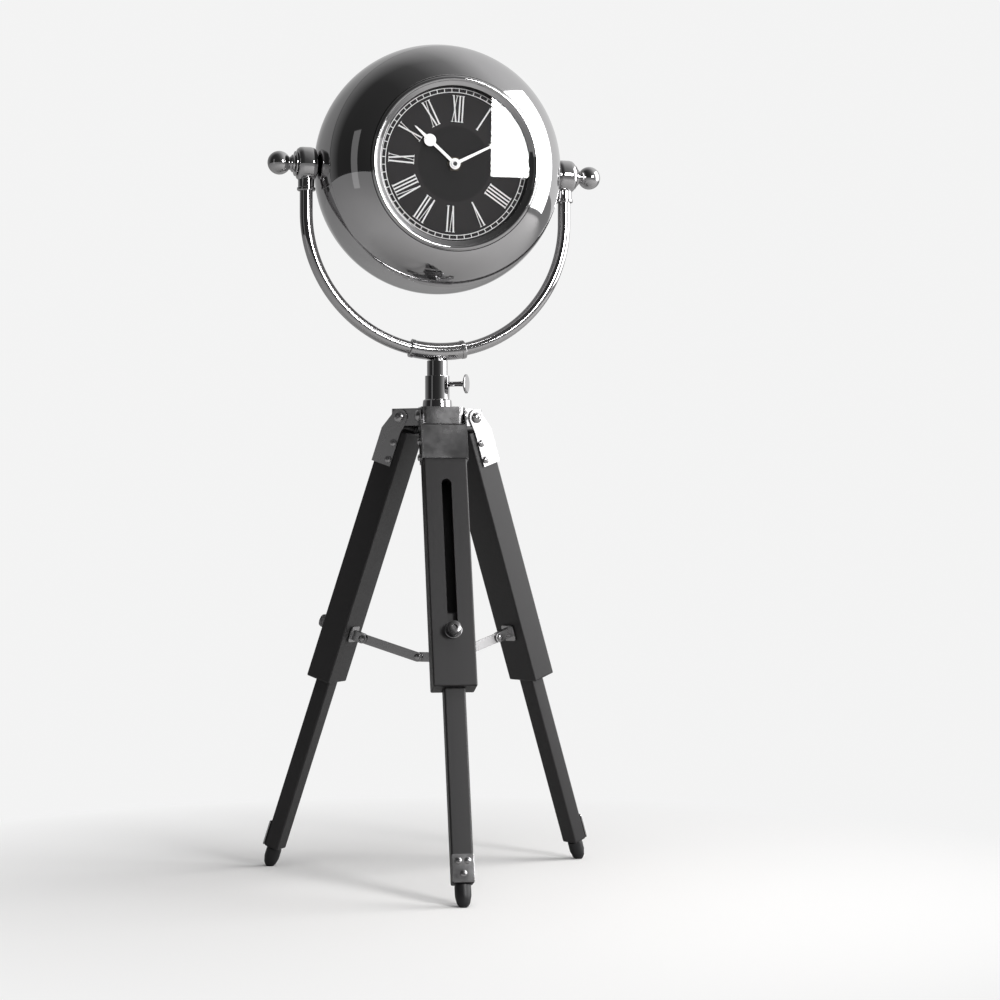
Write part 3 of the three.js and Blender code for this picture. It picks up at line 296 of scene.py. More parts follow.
class LegSizes(bpy.types.PropertyGroup):
    """Sizes of the legs; places on a leg are measured down it from its pivot."""

    width: length("Leg width", "Width of an upper leg", 33)
    thickness: length("Leg thickness", "Thickness of an upper leg", 20.2)
    corner: length("Leg corner", "Rounding of an upper leg's edges", 1.2)
    top: length("Leg top", "Top of the timber", 10)
    bottom: length("Leg bottom", "Bottom of the upper leg", 218)
    channel_top: length("Channel top", "Top of the channel for the lower leg", 44)
    channel_wall: length("Channel wall", "Wood left in front of the channel", 4.8)
    slot_top: length("Slot top", "Top of the slot in the front face", 55.5)
    slot_width: length("Slot width", "Width of the slot", 7.5)
    lower_top: length("Lower leg top", "Top of the lower leg", 160)
    lower_bottom: length("Lower leg bottom", "Bottom of the lower leg", 362.378)
    lower_width: length("Lower leg width", "Width of a lower leg", 16.2)
    lower_thickness: length("Lower leg thickness", "Thickness of a lower leg", 12.2)
    lower_corner: length("Lower leg corner", "Rounding of a lower leg's edges", 1.4)
    plate_gauge: length("Bracket gauge", "Gauge of the top bracket", 1)
    plate_top: length("Bracket top", "Top of the bracket's face", 12)
    plate_bottom: length("Bracket bottom", "Bottom of the bracket", 39)
    ear: length("Bracket ear", "Radius of the bracket's ears", 6.6)
    plate_inner: length("Bracket inner edge", "How far the cheeks reach inward", 5)
    rivet: length("Bracket bolt", "Radius of a bracket bolt's shank", 1.5)
    rivet_head: length("Bracket bolt head", "Radius of a bracket bolt's head", 2.7)
    rivet_head_height: length("Bracket bolt head height", "Height of a bracket bolt's head", 1.6)
    rivet_upper: length("Upper bolt", "Place of the upper bracket bolt", 20.5)
    rivet_lower: length("Lower bolt", "Place of the lower bracket bolt", 34)
    rivet_inward: length("Bolt inward", "How far inward the bracket bolts lie", 2)
    clamp: length("Clamp level", "Place of the clamp knob", 175.3)
    clamp_shank: length("Clamp shank", "Radius of the clamp's shank", 2.5)
    clamp_washer: length("Clamp washer", "Radius of the clamp's washer", 6.6)
    clamp_washer_gauge: length("Clamp washer gauge", "Thickness of the clamp's washer", 1.2)
    clamp_knob: length("Clamp knob", "Radius of the clamp knob", 5.3)
    clamp_knob_height: length("Clamp knob height", "Height of the clamp knob", 7.6)
    foot_plate_lift: length("Foot plate lift", "From the lower leg's end up to the foot plate", 0.4)
    foot_plate_length: length("Foot plate length", "Length of the foot plate", 20.6)
    foot_plate_gauge: length("Foot plate gauge", "Gauge of the foot plate", 1.2)
    foot_plate_corner: length("Foot plate corner", "Rounding of the foot plate", 1.5)
    foot_screw: length("Foot screw", "Radius of a foot plate's screw", 2.5)
    foot_screw_height: length("Foot screw height", "Height of a foot plate's screw", 1.3)
    foot_screw_upper: length("Upper screws", "From the lower leg's end up to the two upper screws", 16)
    foot_screw_lower: length("Lower screw", "From the lower leg's end up to the lower screw", 6.8)
    foot_screw_spread: length("Screw spread", "From the middle to an upper screw", 3.4)
    foot: length("Foot radius", "Radius of the rubber foot", 6)
    foot_waist: length("Foot waist", "Radius above the foot's tip", 5.2)
    foot_tip: length("Foot tip", "Radius of the foot's tip", 3.4)
    foot_length: length("Foot length", "Length of the rubber foot", 16.4)
    brace_level: length("Brace level", "Place of the brace bracket", 176.6)
    brace_standoff: length("Brace standoff", "From the leg's inner face to the pin", 10.5)
    brace_length: length("Brace plate length", "Length of the brace plate", 13)
    brace_width: length("Brace plate width", "Width of the brace plate", 14)
    brace_gauge: length("Brace gauge", "Gauge of the brace bracket", 1.3)
    brace_ear: length("Brace ear", "Radius of the brace bracket's ears", 4)
    pin: length("Brace pin", "Radius of a brace pin", 1.2)
    pin_head: length("Brace pin head", "Radius of a brace pin's head", 2.6)
    pin_head_height: length("Brace pin head height", "Height of a brace pin's head", 1.2)
    link: length("Link length", "Length of a brace link between its pins", 49)
    link_gauge: length("Link gauge", "Gauge of a brace link", 1.6)
    link_half: length("Link half height", "Half the height of a brace link", 3.8)
    spreader_pin: length("Spreader pins", "Radius of the circle of the spreader's pins", 16)
    spreader_core: length("Spreader core", "Radius of the spreader's core", 6)
    spreader_ear: length("Spreader ear", "Gauge of the spreader's ears", 2)


class StageSizes(bpy.types.PropertyGroup):
    """The stage, with its camera, floor and backdrop."""

    camera_yaw: angle("Camera yaw", "How far the camera stands to the left of the front leg", 9)
    camera_height: length("Camera height", "Height of the level camera", 263.5)
    camera_distance: length("Camera distance", "Depth of the post's axis in front of the camera", 1694)
    camera_side: length(
        "Camera side", "How far the post's axis lies right of the picture's middle", -49, least=-1.0
    )
    focal_pixels: FloatProperty(
        name="Focal length in pixels", description="For a picture 1000 pixels wide", default=2165, min=1
    )
    horizon_row: FloatProperty(
        name="Horizon row", description="Row of the horizon in a picture 1000 pixels high", default=539
    )
    floor: colour("Floor", "Pale floor", (0.88, 0.87, 0.86))
    backdrop: colour("Backdrop", "Pale backdrop behind the clock", (0.90, 0.90, 0.90))
    mirrored: factor("Mirrored", "How much of the pale floor and backdrop the polished metal shows", 0.25)


GROUPS = {
    "clock_finishes": ClockFinishes,
    "clock_head": HeadSizes,
    "clock_dial": DialSizes,
    "clock_yoke": YokeSizes,
    "clock_post": PostSizes,
    "clock_legs": LegSizes,
    "clock_stage": StageSizes,
}


# Work at the bench: small steps that every piece is made with


def clear():
    if bpy.context.object is not None and bpy.context.object.mode != "OBJECT":
        bpy.ops.object.mode_set(mode="OBJECT")
    bpy.ops.object.select_all(action="DESELECT")


def pick(*objects):
    clear()
    for thing in objects:
        thing.select_set(True)
    bpy.context.view_layer.objects.active = objects[0]


def open_mesh(name):
    """A new mesh object at the origin with nothing in it, in edit mode."""
    clear()
    bpy.ops.mesh.primitive_plane_add(size=MM, location=(0, 0, 0))
    made = bpy.context.object
    made.name = name
    made.data.name = name
    bpy.ops.object.mode_set(mode="EDIT")
    bpy.ops.mesh.select_mode(type="VERT")
    bpy.ops.mesh.select_all(action="SELECT")
    bpy.ops.mesh.delete(type="VERT")
    return made


def close_mesh(made):
    bpy.ops.mesh.select_all(action="SELECT")
    bpy.ops.mesh.remove_doubles(threshold=1e-6)
    bpy.ops.mesh.normals_make_consistent(inside=False)
    bpy.ops.object.mode_set(mode="OBJECT")
    return made


def draw(points):
    """In edit mode: a run of edges through the points."""
    bpy.ops.mesh.primitive_plane_add(size=1e-5, location=points[0])
    bpy.ops.mesh.merge(type="CENTER")
    for a, b in zip(points, points[1:]):
        step = Vector(b) - Vector(a)
        bpy.ops.mesh.extrude_vertices_move(TRANSFORM_OT_translate={"value": step})
    bpy.ops.mesh.select_linked()


def outlined_face(points, level):
    """In edit mode: a flat face with this outline, given as x and y."""
    corners = [(x, y, level) for x, y in points]
    draw([*corners, corners[0]])
    bpy.ops.mesh.remove_doubles(threshold=1e-6)
    bpy.ops.mesh.edge_face_add()


def lathed(name, outline, steps=96):
    """A turned piece: the outline lists distances along Z with their radii."""
    made = open_mesh(name)
    draw([(radius, 0, along) for along, radius in outline])
    bpy.ops.mesh.spin(steps=steps, angle=2 * math.pi, center=(0, 0, 0), axis=(0, 0, 1))
    return close_mesh(made)


def ringed(name, outline, steps=96):
    """A turned piece with a bore: the outline closes on itself."""
    return lathed(name, [*outline, outline[0]], steps)


def plated(name, outlines, low, high):
    """Flat stock cut to one or more outlines, from one level to another."""
    made = open_mesh(name)
    for points in outlines:
        outlined_face(points, low)
        bpy.ops.mesh.extrude_region_move(TRANSFORM_OT_translate={"value": (0, 0, high - low)})
        bpy.ops.mesh.select_all(action="DESELECT")
    return close_mesh(made)


def blocked(name, low, high):
    """Squared stock between two corners."""
    low, high = Vector(low), Vector(high)
    clear()
    bpy.ops.mesh.primitive_cube_add(size=1, location=(low + high) / 2)
    made = bpy.context.object
    made.name = name
    made.data.name = name
    bpy.ops.object.mode_set(mode="EDIT")
    bpy.ops.mesh.select_all(action="SELECT")
    middle = (low + high) / 2
    bpy.ops.transform.resize(value=high - low, center_override=middle)
    bpy.ops.object.mode_set(mode="OBJECT")
    bpy.ops.object.transform_apply(location=True, rotation=True, scale=True)
    return made


def modified(made, kind, **settings):
    pick(made)
    modifier = made.modifiers.new(kind.title(), kind)
    for key, value in settings.items():
        setattr(modifier, key, value)
    bpy.ops.object.modifier_apply(modifier=modifier.name)
    return made


def eased(made, width, segments=3, angle=35):
    """Breaks the sharp edges."""
    return modified(
        made,
        "BEVEL",
        width=width,
        segments=segments,
        limit_method="ANGLE",
        angle_limit=math.radians(angle),
        harden_normals=False,
    )


def bored(made, *tools):
    """Cuts the tools out of a piece and throws them away."""
    return combined(made, "DIFFERENCE", *tools)


def welded(made, *others):
    return combined(made, "UNION", *others)


def combined(made, operation, *others):
    for other in others:
        modified(made, "BOOLEAN", operation=operation, object=other, solver="EXACT")
        discarded(other)
    return made


def discarded(*objects):
    """Throws away tools and patterns that have done their work."""
    pick(*objects)
    bpy.ops.object.delete()


def joined(made, *others):
    """Puts closed shells that touch or sink into each other into one object."""
    pick(made, *others)
    bpy.ops.object.join()
    return made


def settled(made, matrix):
    """Moves a piece from the bench to its place, which goes into its mesh."""
    pick(made)
    made.matrix_world = matrix @ made.matrix_world
    bpy.ops.object.transform_apply(location=True, rotation=True, scale=True)
    return made


def copied(source, name, matrix):
    pick(source)
    bpy.ops.object.duplicate()
    made = bpy.context.object
    made.name = name
    made.data.name = name
    return settled(made, matrix)


def handed_over(made, material, body, slot, *nodes, smooth=32):
    """Gives a finished piece its material, its body and the nodes that it stands for."""
    pick(made)
    bpy.ops.object.shade_smooth_by_angle(angle=math.radians(smooth))
    modified(made, "WEIGHTED_NORMAL", mode="FACE_AREA", weight=50, keep_sharp=True)
    made.data.materials.clear()
    made.data.materials.append(material)
    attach(made, body)
    if nodes:
        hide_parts(*nodes)
    return made


def fitted(pattern, name, matrix, finish, body, node, smooth=32):
    """A copy of a pattern, finished and in its place; the finish is a material and a slot, and the slot is
    not used.
    """
    material, slot = finish
    return handed_over(copied(pattern, name, matrix), stock(material), body, slot, node, smooth=smooth)


def angles(start, end, steps):
    return [math.radians(start + (end - start) * i / steps) for i in range(steps + 1)]


def bow(x, y, radius, start, end, steps):
    """Points of an outline on an arc, its angles in degrees."""
    return [(x + radius * math.cos(a), y + radius * math.sin(a)) for a in angles(start, end, steps)]


def arc(along, out, radius, start, end, steps):
    """Points of a turned outline on an arc, its angles in radians from the axis."""
    return [
        (
            along + radius * math.cos(start + (end - start) * i / steps),
            out + radius * math.sin(start + (end - start) * i / steps),
        )
        for i in range(steps + 1)
    ]


def rounded(x0, x1, y0, y1, corner, steps=5):
    """Corners of a rectangle with round corners."""
    points = []
    for cx, cy, start in (
        (x1 - corner, y1 - corner, 0),
        (x0 + corner, y1 - corner, 90),
        (x0 + corner, y0 + corner, 180),
        (x1 - corner, y0 + corner, 270),
    ):
        for i in range(steps + 1):
            angle = math.radians(start + 90 * i / steps)
            points.append((cx + corner * math.cos(angle), cy + corner * math.sin(angle)))
    return points


def round_rod(name, radius, low, high, steps=32):
    return lathed(name, [(low, 0), (low, radius), (high, radius), (high, 0)], steps)


def crossed(made, reach, half_width, low, high):
    """Cuts a cross for a screwdriver, between two levels."""
    for x, y in ((reach, half_width), (half_width, reach)):
        bored(made, blocked("cross_recess", (-x, -y, low), (x, y, high)))


# Turned work is made along Z. These lay it along the bench's X or Y.
ALONG_X = place((0, 0, 0), (1, 0, 0), (0, 1, 0))
ALONG_Y = place((0, 0, 0), (0, 1, 0), (0, 0, 1))

# Flat stock is drawn on the bench's X and Y. These stand it across and up a leg, or out of the leg and up it.
ACROSS_AND_UP = Matrix(((0, 0, 1, 0), (1, 0, 0, 0), (0, 1, 0, 0), (0, 0, 0, 1)))
OUT_AND_UP = Matrix(((1, 0, 0, 0), (0, 0, -1, 0), (0, 1, 0, 0), (0, 0, 0, 1)))


def cross_rod(name, radius, half, x, z, steps=32):
    """A rod across a leg, along its Y, for bores and pins."""
    made = round_rod(name, radius, -half, half, steps)
    return settled(made, Matrix.Translation((x, 0, z)) @ ALONG_Y)


# Materials


def new_material(name):
    """A material and its shader."""
    material = bpy.data.materials.new(name)
    material.use_nodes = True
    return material, material.node_tree.nodes["Principled BSDF"]


def fed(node, slot, value):
    """Gives an input of a node a plain value, or a link from another node's socket."""
    if isinstance(value, bpy.types.NodeSocket):
        node.id_data.links.new(value, node.inputs[slot])
    else:
        node.inputs[slot].default_value = value


def wired(tree, kind, inputs=None, **settings):
    """A new node in a tree, set up and with its inputs fed."""
    made = tree.nodes.new(f"ShaderNode{kind}")
    for key, value in settings.items():
        setattr(made, key, value)
    for slot, value in (inputs or {}).items():
        fed(made, slot, value)
    return made


def object_points(shader, scale=(1, 1, 1)):
    """Object coordinates through a Mapping node with this scale."""
    tree = shader.id_data
    points = wired(tree, "TexCoord").outputs["Object"]
    return wired(tree, "Mapping", {"Vector": points, "Scale": scale}).outputs["Vector"]


def noise(points, scale, detail, roughness):
    inputs = {"Vector": points, "Scale": scale, "Detail": detail, "Roughness": roughness}
    return wired(points.id_data, "TexNoise", inputs).outputs["Fac"]


def ramp(source, low, high, start, end):
    """Goes from low to high as the source goes from start to end."""
    inputs = {"Value": source, "From Min": start, "From Max": end, "To Min": low, "To Max": high}
    return wired(source.id_data, "MapRange", inputs).outputs["Result"]


def tinted(source, first, second):
    """Goes from one colour to another as the source goes from 0 to 1."""
    inputs = {"Factor": source, "A": (*first, 1), "B": (*second, 1)}
    return wired(source.id_data, "Mix", inputs, data_type="RGBA").outputs["Result"]


def reckoned(operation, first, second):
    """A Math node's result from a socket and a second socket or number."""
    return wired(first.id_data, "Math", {0: first, 1: second}, operation=operation).outputs[0]


def crossfaded(share, first, second):
    """Goes from one surface to another as the share goes from 0 to 1."""
    return wired(share.id_data, "MixShader", {"Fac": share, 1: first, 2: second}).outputs["Shader"]


def shaded(value, share):
    return tuple(channel * share for channel in value)


def coloured(shader, source, tone, low, high):
    """Lets the colour wander with a pattern between two shares of its tone."""
    fed(shader, "Base Color", tinted(source, shaded(tone, low), shaded(tone, high)))


def roughened(shader, source, low, high, start, end):
    """Lets the roughness follow a pattern."""
    fed(shader, "Roughness", ramp(source, low, high, start, end))


def bumped(shader, source, strength, distance):
    inputs = {"Height": source, "Strength": strength, "Distance": distance}
    fed(shader, "Normal", wired(shader.id_data, "Bump", inputs).outputs["Normal"])


def chrome_material(name, tone, roughness):
    """Plated steel: bright, with a faint polishing haze and fine marks."""
    material, shader = new_material(name)
    points = object_points(shader)
    haze = noise(points, scale=34, detail=4, roughness=0.6)
    marks = noise(points, scale=900, detail=2, roughness=0.5)
    coloured(shader, haze, tone, 0.93, 1.05)
    roughened(shader, haze, roughness * 0.6, roughness * 1.7, start=0.3, end=0.75)
    fed(shader, "Metallic", 1.0)
    bumped(shader, marks, strength=0.03, distance=0.04 * MM)
    return material


def painted_wood(name, paint, roughness, along):
    """Black paint on straight-grained wood: the grain shows as fine long ridges."""
    material, shader = new_material(name)
    tree = shader.id_data
    points = object_points(shader)
    # the grain runs along the leg, so the points are squeezed in that direction
    squeeze = (-0.94, -0.94, -0.94)
    level = wired(tree, "VectorMath", {0: points, 1: along}, operation="DOT_PRODUCT")
    down = wired(tree, "VectorMath", {0: along, "Scale": level.outputs["Value"]}, operation="SCALE")
    inputs = {0: down.outputs["Vector"], 1: squeeze, 2: points}
    squeezed = wired(tree, "VectorMath", inputs, operation="MULTIPLY_ADD").outputs["Vector"]
    grain = noise(squeezed, scale=420, detail=4, roughness=0.62)
    broad = noise(squeezed, scale=60, detail=2, roughness=0.5)
    specks = noise(points, scale=700, detail=2, roughness=0.5)
    coloured(shader, broad, paint, 0.82, 1.22)
    roughened(shader, specks, roughness - 0.07, roughness + 0.08, start=0.25, end=0.75)
    bumped(shader, grain, strength=0.16, distance=0.12 * MM)
    return material


def rubber_material(name, tone):
    material, shader = new_material(name)
    points = object_points(shader)
    patch = noise(points, scale=140, detail=3, roughness=0.6)
    fine = noise(points, scale=1600, detail=2, roughness=0.5)
    coloured(shader, patch, tone, 0.8, 1.6)
    roughened(shader, patch, 0.36, 0.55, start=0.3, end=0.7)
    bumped(shader, fine, strength=0.12, distance=0.1 * MM)
    return material


def matt_material(name, tone, roughness, grain=1200, depth=0.06 * MM, metallic=0.0):
    material, shader = new_material(name)
    points = object_points(shader)
    patch = noise(points, scale=90, detail=3, roughness=0.55)
    fine = noise(points, scale=grain, detail=2, roughness=0.5)
    coloured(shader, patch, tone, 0.92, 1.08)
    roughened(shader, fine, roughness - 0.05, roughness + 0.05, start=0.3, end=0.7)
    fed(shader, "Metallic", metallic)
    bumped(shader, fine, strength=0.15, distance=depth)
    return material


def dial_material(name, tone, middle, centre, reach):
    """Charcoal dial paint, darker inside the ring of numerals."""
    material, shader = new_material(name)
    tree = shader.id_data
    points = object_points(shader)
    out = wired(tree, "VectorMath", {0: points, 1: centre}, operation="DISTANCE").outputs["Value"]
    edge = 0.6 * MM
    ground = tinted(ramp(out, 0, 1, start=reach - edge, end=reach + edge), middle, tone)
    patch = noise(points, scale=40, detail=2, roughness=0.5)
    fine = noise(points, scale=1500, detail=2, roughness=0.5)
    inputs = {"Factor": 1.0, "A": ground, "B": tinted(patch, (0.94, 0.94, 0.94), (1.0, 1.0, 1.0))}
    painted = wired(tree, "Mix", inputs, data_type="RGBA", blend_type="MULTIPLY")
    fed(shader, "Base Color", painted.outputs["Result"])
    roughened(shader, fine, 0.62, 0.72, start=0.3, end=0.7)
    fed(shader, "Specular IOR Level", 0.2)
    return material


def brushed_silver(name, tone):
    material, shader = new_material(name)
    lines = noise(object_points(shader, (1, 1, 0.12)), scale=1400, detail=3, roughness=0.6)
    coloured(shader, lines, tone, 0.92, 1.05)
    roughened(shader, lines, 0.26, 0.42, start=0.3, end=0.7)
    fed(shader, "Metallic", 0.85)
    bumped(shader, lines, strength=0.08, distance=0.03 * MM)
    return material


def glass_material(name):
    """Clear glass with a trace of dust; shadows and bounced light pass straight through it."""
    material, shader = new_material(name)
    tree = shader.id_data
    dust = noise(object_points(shader), scale=500, detail=3, roughness=0.6)
    roughened(shader, dust, 0.0, 0.012, start=0.45, end=0.8)
    fed(shader, "Base Color", (0.97, 0.98, 0.98, 1))
    fed(shader, "Transmission Weight", 1.0)
    fed(shader, "IOR", 1.45)
    open_pane = wired(tree, "BsdfTransparent").outputs["BSDF"]
    rays = wired(tree, "LightPath").outputs
    bounced = reckoned("MAXIMUM", rays["Is Diffuse Ray"], rays["Is Glossy Ray"])
    straight = reckoned("MAXIMUM", rays["Is Shadow Ray"], bounced)
    fed(tree.nodes["Material Output"], "Surface", crossfaded(straight, shader.outputs["BSDF"], open_pane))
    return material


def stock(key):
    """One of the clock's finishes, made when it is first asked for."""
    found = bpy.data.materials.get(key)
    if found is not None:
        return found
    f = bpy.context.scene.clock_finishes
    s = bpy.context.scene.clock_head
    if key.startswith("painted_leg_"):
        side = key.rsplit("_", 1)[1]
        return painted_wood(key, f.wood, f.wood_roughness, axis_of(f"foot_{side}_slide"))
    makers = {
        "polished_chrome": lambda: chrome_material(key, f.chrome, f.chrome_roughness),
        "worn_chrome": lambda: chrome_material(key, f.worn, f.worn_roughness),
        "knurled_metal": lambda: chrome_material(key, f.knurled, f.worn_roughness),
        "black_rubber_foot": lambda: rubber_material(key, f.rubber),
        "white_print": lambda: matt_material(key, f.print, 0.55, grain=1800, depth=0.01 * MM),
        "charcoal_dial": lambda: dial_material(
            key, f.dial, f.dial_middle, HEAD @ Vector((0, 0, s.dial_forward)), s.dial_middle
        ),
        "satin_hands": lambda: brushed_silver(key, f.silver),
        "clock_glass": lambda: glass_material(key),
        "movement_plastic": lambda: matt_material(key, f.plastic, 0.5),
        "blackened_brass": lambda: matt_material(key, f.nut, 0.42, grain=900, depth=0.03 * MM, metallic=1.0),
        "cell_wrap": lambda: matt_material(key, f.cell, 0.34, depth=0.02 * MM),
    }
    return makers[key]()


# The head


class CLOCK_OT_shells(bpy.types.Operator):
    """Makes the two pressed shells of the head and the rear cover"""

    bl_idname = "tripod_clock.shells"
    bl_label = "Head shells"

    def execute(self, context):
        s = context.scene.clock_head
        gap = s.clearance
        inner = s.radius - s.wall
        seam_radius = math.sqrt(s.radius**2 - s.seam**2)
        start = (s.seam + gap, seam_radius)
        end = (s.bezel_seat, s.bezel_radius + 2 * gap)
        chord = math.hypot(end[0] - start[0], end[1] - start[1])
        depth = math.sqrt(s.front_arc**2 - (chord / 2) ** 2)
        along = (start[0] + end[0]) / 2 - depth * (start[1] - end[1]) / chord
        out = (start[1] + end[1]) / 2 - depth * (end[0] - start[0]) / chord
        first = math.atan2(start[1] - out, start[0] - along)
        last = math.atan2(end[1] - out, end[0] - along)
        inside = s.front_arc - s.wall
        collar = s.bezel_radius + gap + s.wall
        seat = s.dial_forward - s.dial_gauge - gap
        ledge = s.dial_radius - 5 * MM
        ledge_back = seat - 1.4 * MM
        front = ringed(
            "front_shell_pressing",
            [
                *arc(along, out, s.front_arc, first, last, 22),
                (s.bezel_seat, s.bezel_radius + gap),
                (seat, s.bezel_radius + gap),
                (seat, ledge),
                (ledge_back, ledge),
                (ledge_back, collar),
                *arc(along, out, inside, math.asin((collar - out) / inside), first - 0.012, 12),
            ],
            128,
        )
        eased(front, 0.35 * MM, 2, 40)
        settled(front, HEAD)
        handed_over(front, stock("polished_chrome"), "head", "polished_metal", "front_shell", smooth=24)

        lip_out = out + math.sqrt(inside**2 - (s.seam + s.lip - along) ** 2) - gap
        seam_angle = math.acos(s.seam / s.radius)
        open_angle = math.pi - math.asin(s.opening / s.radius)
        # inside the opening runs a rim that the cover rests on
        rim_inner, rim_outer = s.opening - 3.4 * MM, s.opening + 3.4 * MM
        rim_gauge = lip_gauge = 1.6 * MM
        rim_angle = math.pi - math.asin(rim_outer / inner)

        def behind(radius, out):
            return (-math.sqrt(radius**2 - out**2), out)

        rear = ringed(
            "rear_shell_pressing",
            [
                *arc(0, 0, s.radius, seam_angle, open_angle, 60),
                behind(inner, s.opening),
                behind(inner, rim_inner),
                behind(inner - rim_gauge, rim_inner),
                behind(inner - rim_gauge, rim_outer),
                *arc(0, 0, inner, rim_angle - 0.03, math.acos((s.seam - 9 * MM) / inner), 30),
                (s.seam - s.lip, lip_out - lip_gauge),
                (s.seam + s.lip, lip_out - lip_gauge),
                (s.seam + s.lip, lip_out),
                (s.seam, lip_out),
            ],
            128,
        )
        eased(rear, 0.35 * MM, 2, 40)
        y = context.scene.clock_yoke
        sideways = [Matrix.Rotation(math.pi / 2 * sign, 4, "Y") for sign in (1, -1)]
        boss_radius, boss_height = 9 * MM, 9 * MM
        for turn in sideways:
            boss = round_rod("trunnion_boss", boss_radius, inner - boss_height, inner + s.wall / 2, 48)
            welded(rear, settled(boss, turn))
        for turn in sideways:
            bore = round_rod("trunnion_bore", y.trunnion + gap, inner - 12 * MM, s.radius + 2 * MM, 48)
            bored(rear, settled(bore, turn))
        settled(rear, HEAD)
        handed_over(rear, stock("polished_chrome"), "head", "polished_metal", "rear_shell", smooth=24)

        edge = s.opening - gap
        pull = s.cover_pull
        top = -s.radius - s.cover_pull_height
        cover_inner = inner + gap
        edge_angle = math.pi - math.asin(edge / s.radius)
        pull_angle = math.pi - math.asin((pull + 3 * MM) / s.radius)
        cover = lathed(
            "rear_cover_lid",
            [
                (-cover_inner, 0),
                *arc(0, 0, cover_inner, math.pi - 0.02, math.pi - math.asin(edge / cover_inner), 18),
                *arc(0, 0, s.radius, edge_angle, pull_angle, 20),
                (-s.radius + 0.1 * MM, pull - 1.6 * MM),
                (-s.radius - 1.9 * MM, pull - 1.9 * MM),
                (top + 1.8 * MM, pull - 0.2 * MM),
                (top + 0.9 * MM, pull),
                (top + 0.2 * MM, pull - 0.9 * MM),
                (top, pull - 2 * MM),
                (top, 0),
            ],
            128,
        )
        eased(cover, 0.3 * MM, 2, 30)
        settled(cover, HEAD)
        handed_over(cover, stock("polished_chrome"), "rear_cover", "polished_metal", "rear_cover", smooth=24)
        return {"FINISHED"}


class CLOCK_OT_bezel(bpy.types.Operator):
    """Makes the bezel and the glass"""

    bl_idname = "tripod_clock.bezel"
    bl_label = "Bezel and glass"

    def execute(self, context):
        s = context.scene.clock_head
        gap = s.clearance
        back = s.dial_forward + gap
        lip_back = s.glass_forward + gap
        roll = 2.1 * MM
        roll_out = (s.bezel_slope + s.bezel_radius - 0.8 * MM) / 2 + 0.3 * MM
        crown = arc(s.bezel_front - roll, roll_out, roll, math.pi / 2, -math.pi / 2 + 0.5, 14)
        bezel = ringed(
            "bezel_turning",
            [
                (back, s.bezel_bore),
                (back, s.bezel_radius),
                (s.bezel_seat + 0.5 * MM, s.bezel_radius),
                (s.bezel_seat + 0.7 * MM, s.bezel_radius - 0.5 * MM),
                *crown,
                (s.bezel_front - 1.35 * MM, s.bezel_slope - 0.1 * MM),
                (lip_back + 0.75 * MM, s.bezel_lip + 0.5 * MM),
                (lip_back + 0.45 * MM, s.bezel_lip),
                (lip_back, s.bezel_lip),
                (lip_back, s.bezel_bore),
            ],
            144,
        )
        eased(bezel, 0.15 * MM, 2, 30)
        settled(bezel, HEAD)
        handed_over(bezel, stock("polished_chrome"), "head", "polished_metal", "bezel_ring", smooth=24)

        radius = s.bezel_bore - gap
        glass_back = s.glass_forward - s.glass_gauge
        pane = lathed(
            "glass_pane",
            [
                (glass_back, 0),
                (glass_back, radius - 0.3 * MM),
                (glass_back + 0.3 * MM, radius),
                (s.glass_forward - 0.5 * MM, radius),
                (s.glass_forward, radius - 0.5 * MM),
                (s.glass_forward, 0),
            ],
            96,
        )
        settled(pane, HEAD)
        handed_over(pane, stock("clock_glass"), "head", "clear_glass", "glass", smooth=20)
        return {"FINISHED"}


def numeral_strokes(text, s):
    """Strokes of a Roman numeral standing upright round x = 0: each is four corners."""
    height = s.numeral_outer - s.numeral_inner
    foot, head = -height / 2, height / 2
    wide_cap, slim_cap, cross_cap = s.letter_i * 0.84, s.letter_i * 0.7, s.letter_i * 0.76
    advance = {"I": s.letter_i, "V": s.letter_v, "X": s.letter_v}
    lean = s.letter_v * 0.3
    span = sum(advance[letter] for letter in text)
    strokes = []

    def bar(x_low, x_high, width, low=foot, high=head):
        half = width / 2
        strokes.append(
            [(x_low - half, low), (x_low + half, low), (x_high + half, high), (x_high - half, high)]
        )

    def cap(x, level, width):
        low = level if level < 0 else level - s.serif
        bar(x, x, width, low, low + s.serif)

    x = -span / 2
    for letter in text:
        middle = x + advance[letter] / 2
        if letter == "I":
            bar(middle, middle, s.thick)
            cap(middle, foot, wide_cap)
            cap(middle, head, wide_cap)
        elif letter == "V":
            bar(middle, middle - lean, s.thick)
            bar(middle, middle + lean, s.thin)
            cap(middle - lean, head, wide_cap)
            cap(middle + lean, head, slim_cap)
        else:
            bar(middle + lean, middle - lean, s.thick)
            bar(middle - lean, middle + lean, s.thin)
            for end in (foot, head):
                cap(middle - lean, end, cross_cap)
                cap(middle + lean, end, cross_cap)
        x += advance[letter]
    return strokes


NUMERALS = ("XII", "I", "II", "III", "IIII", "V", "VI", "VII", "VIII", "IX", "X", "XI")


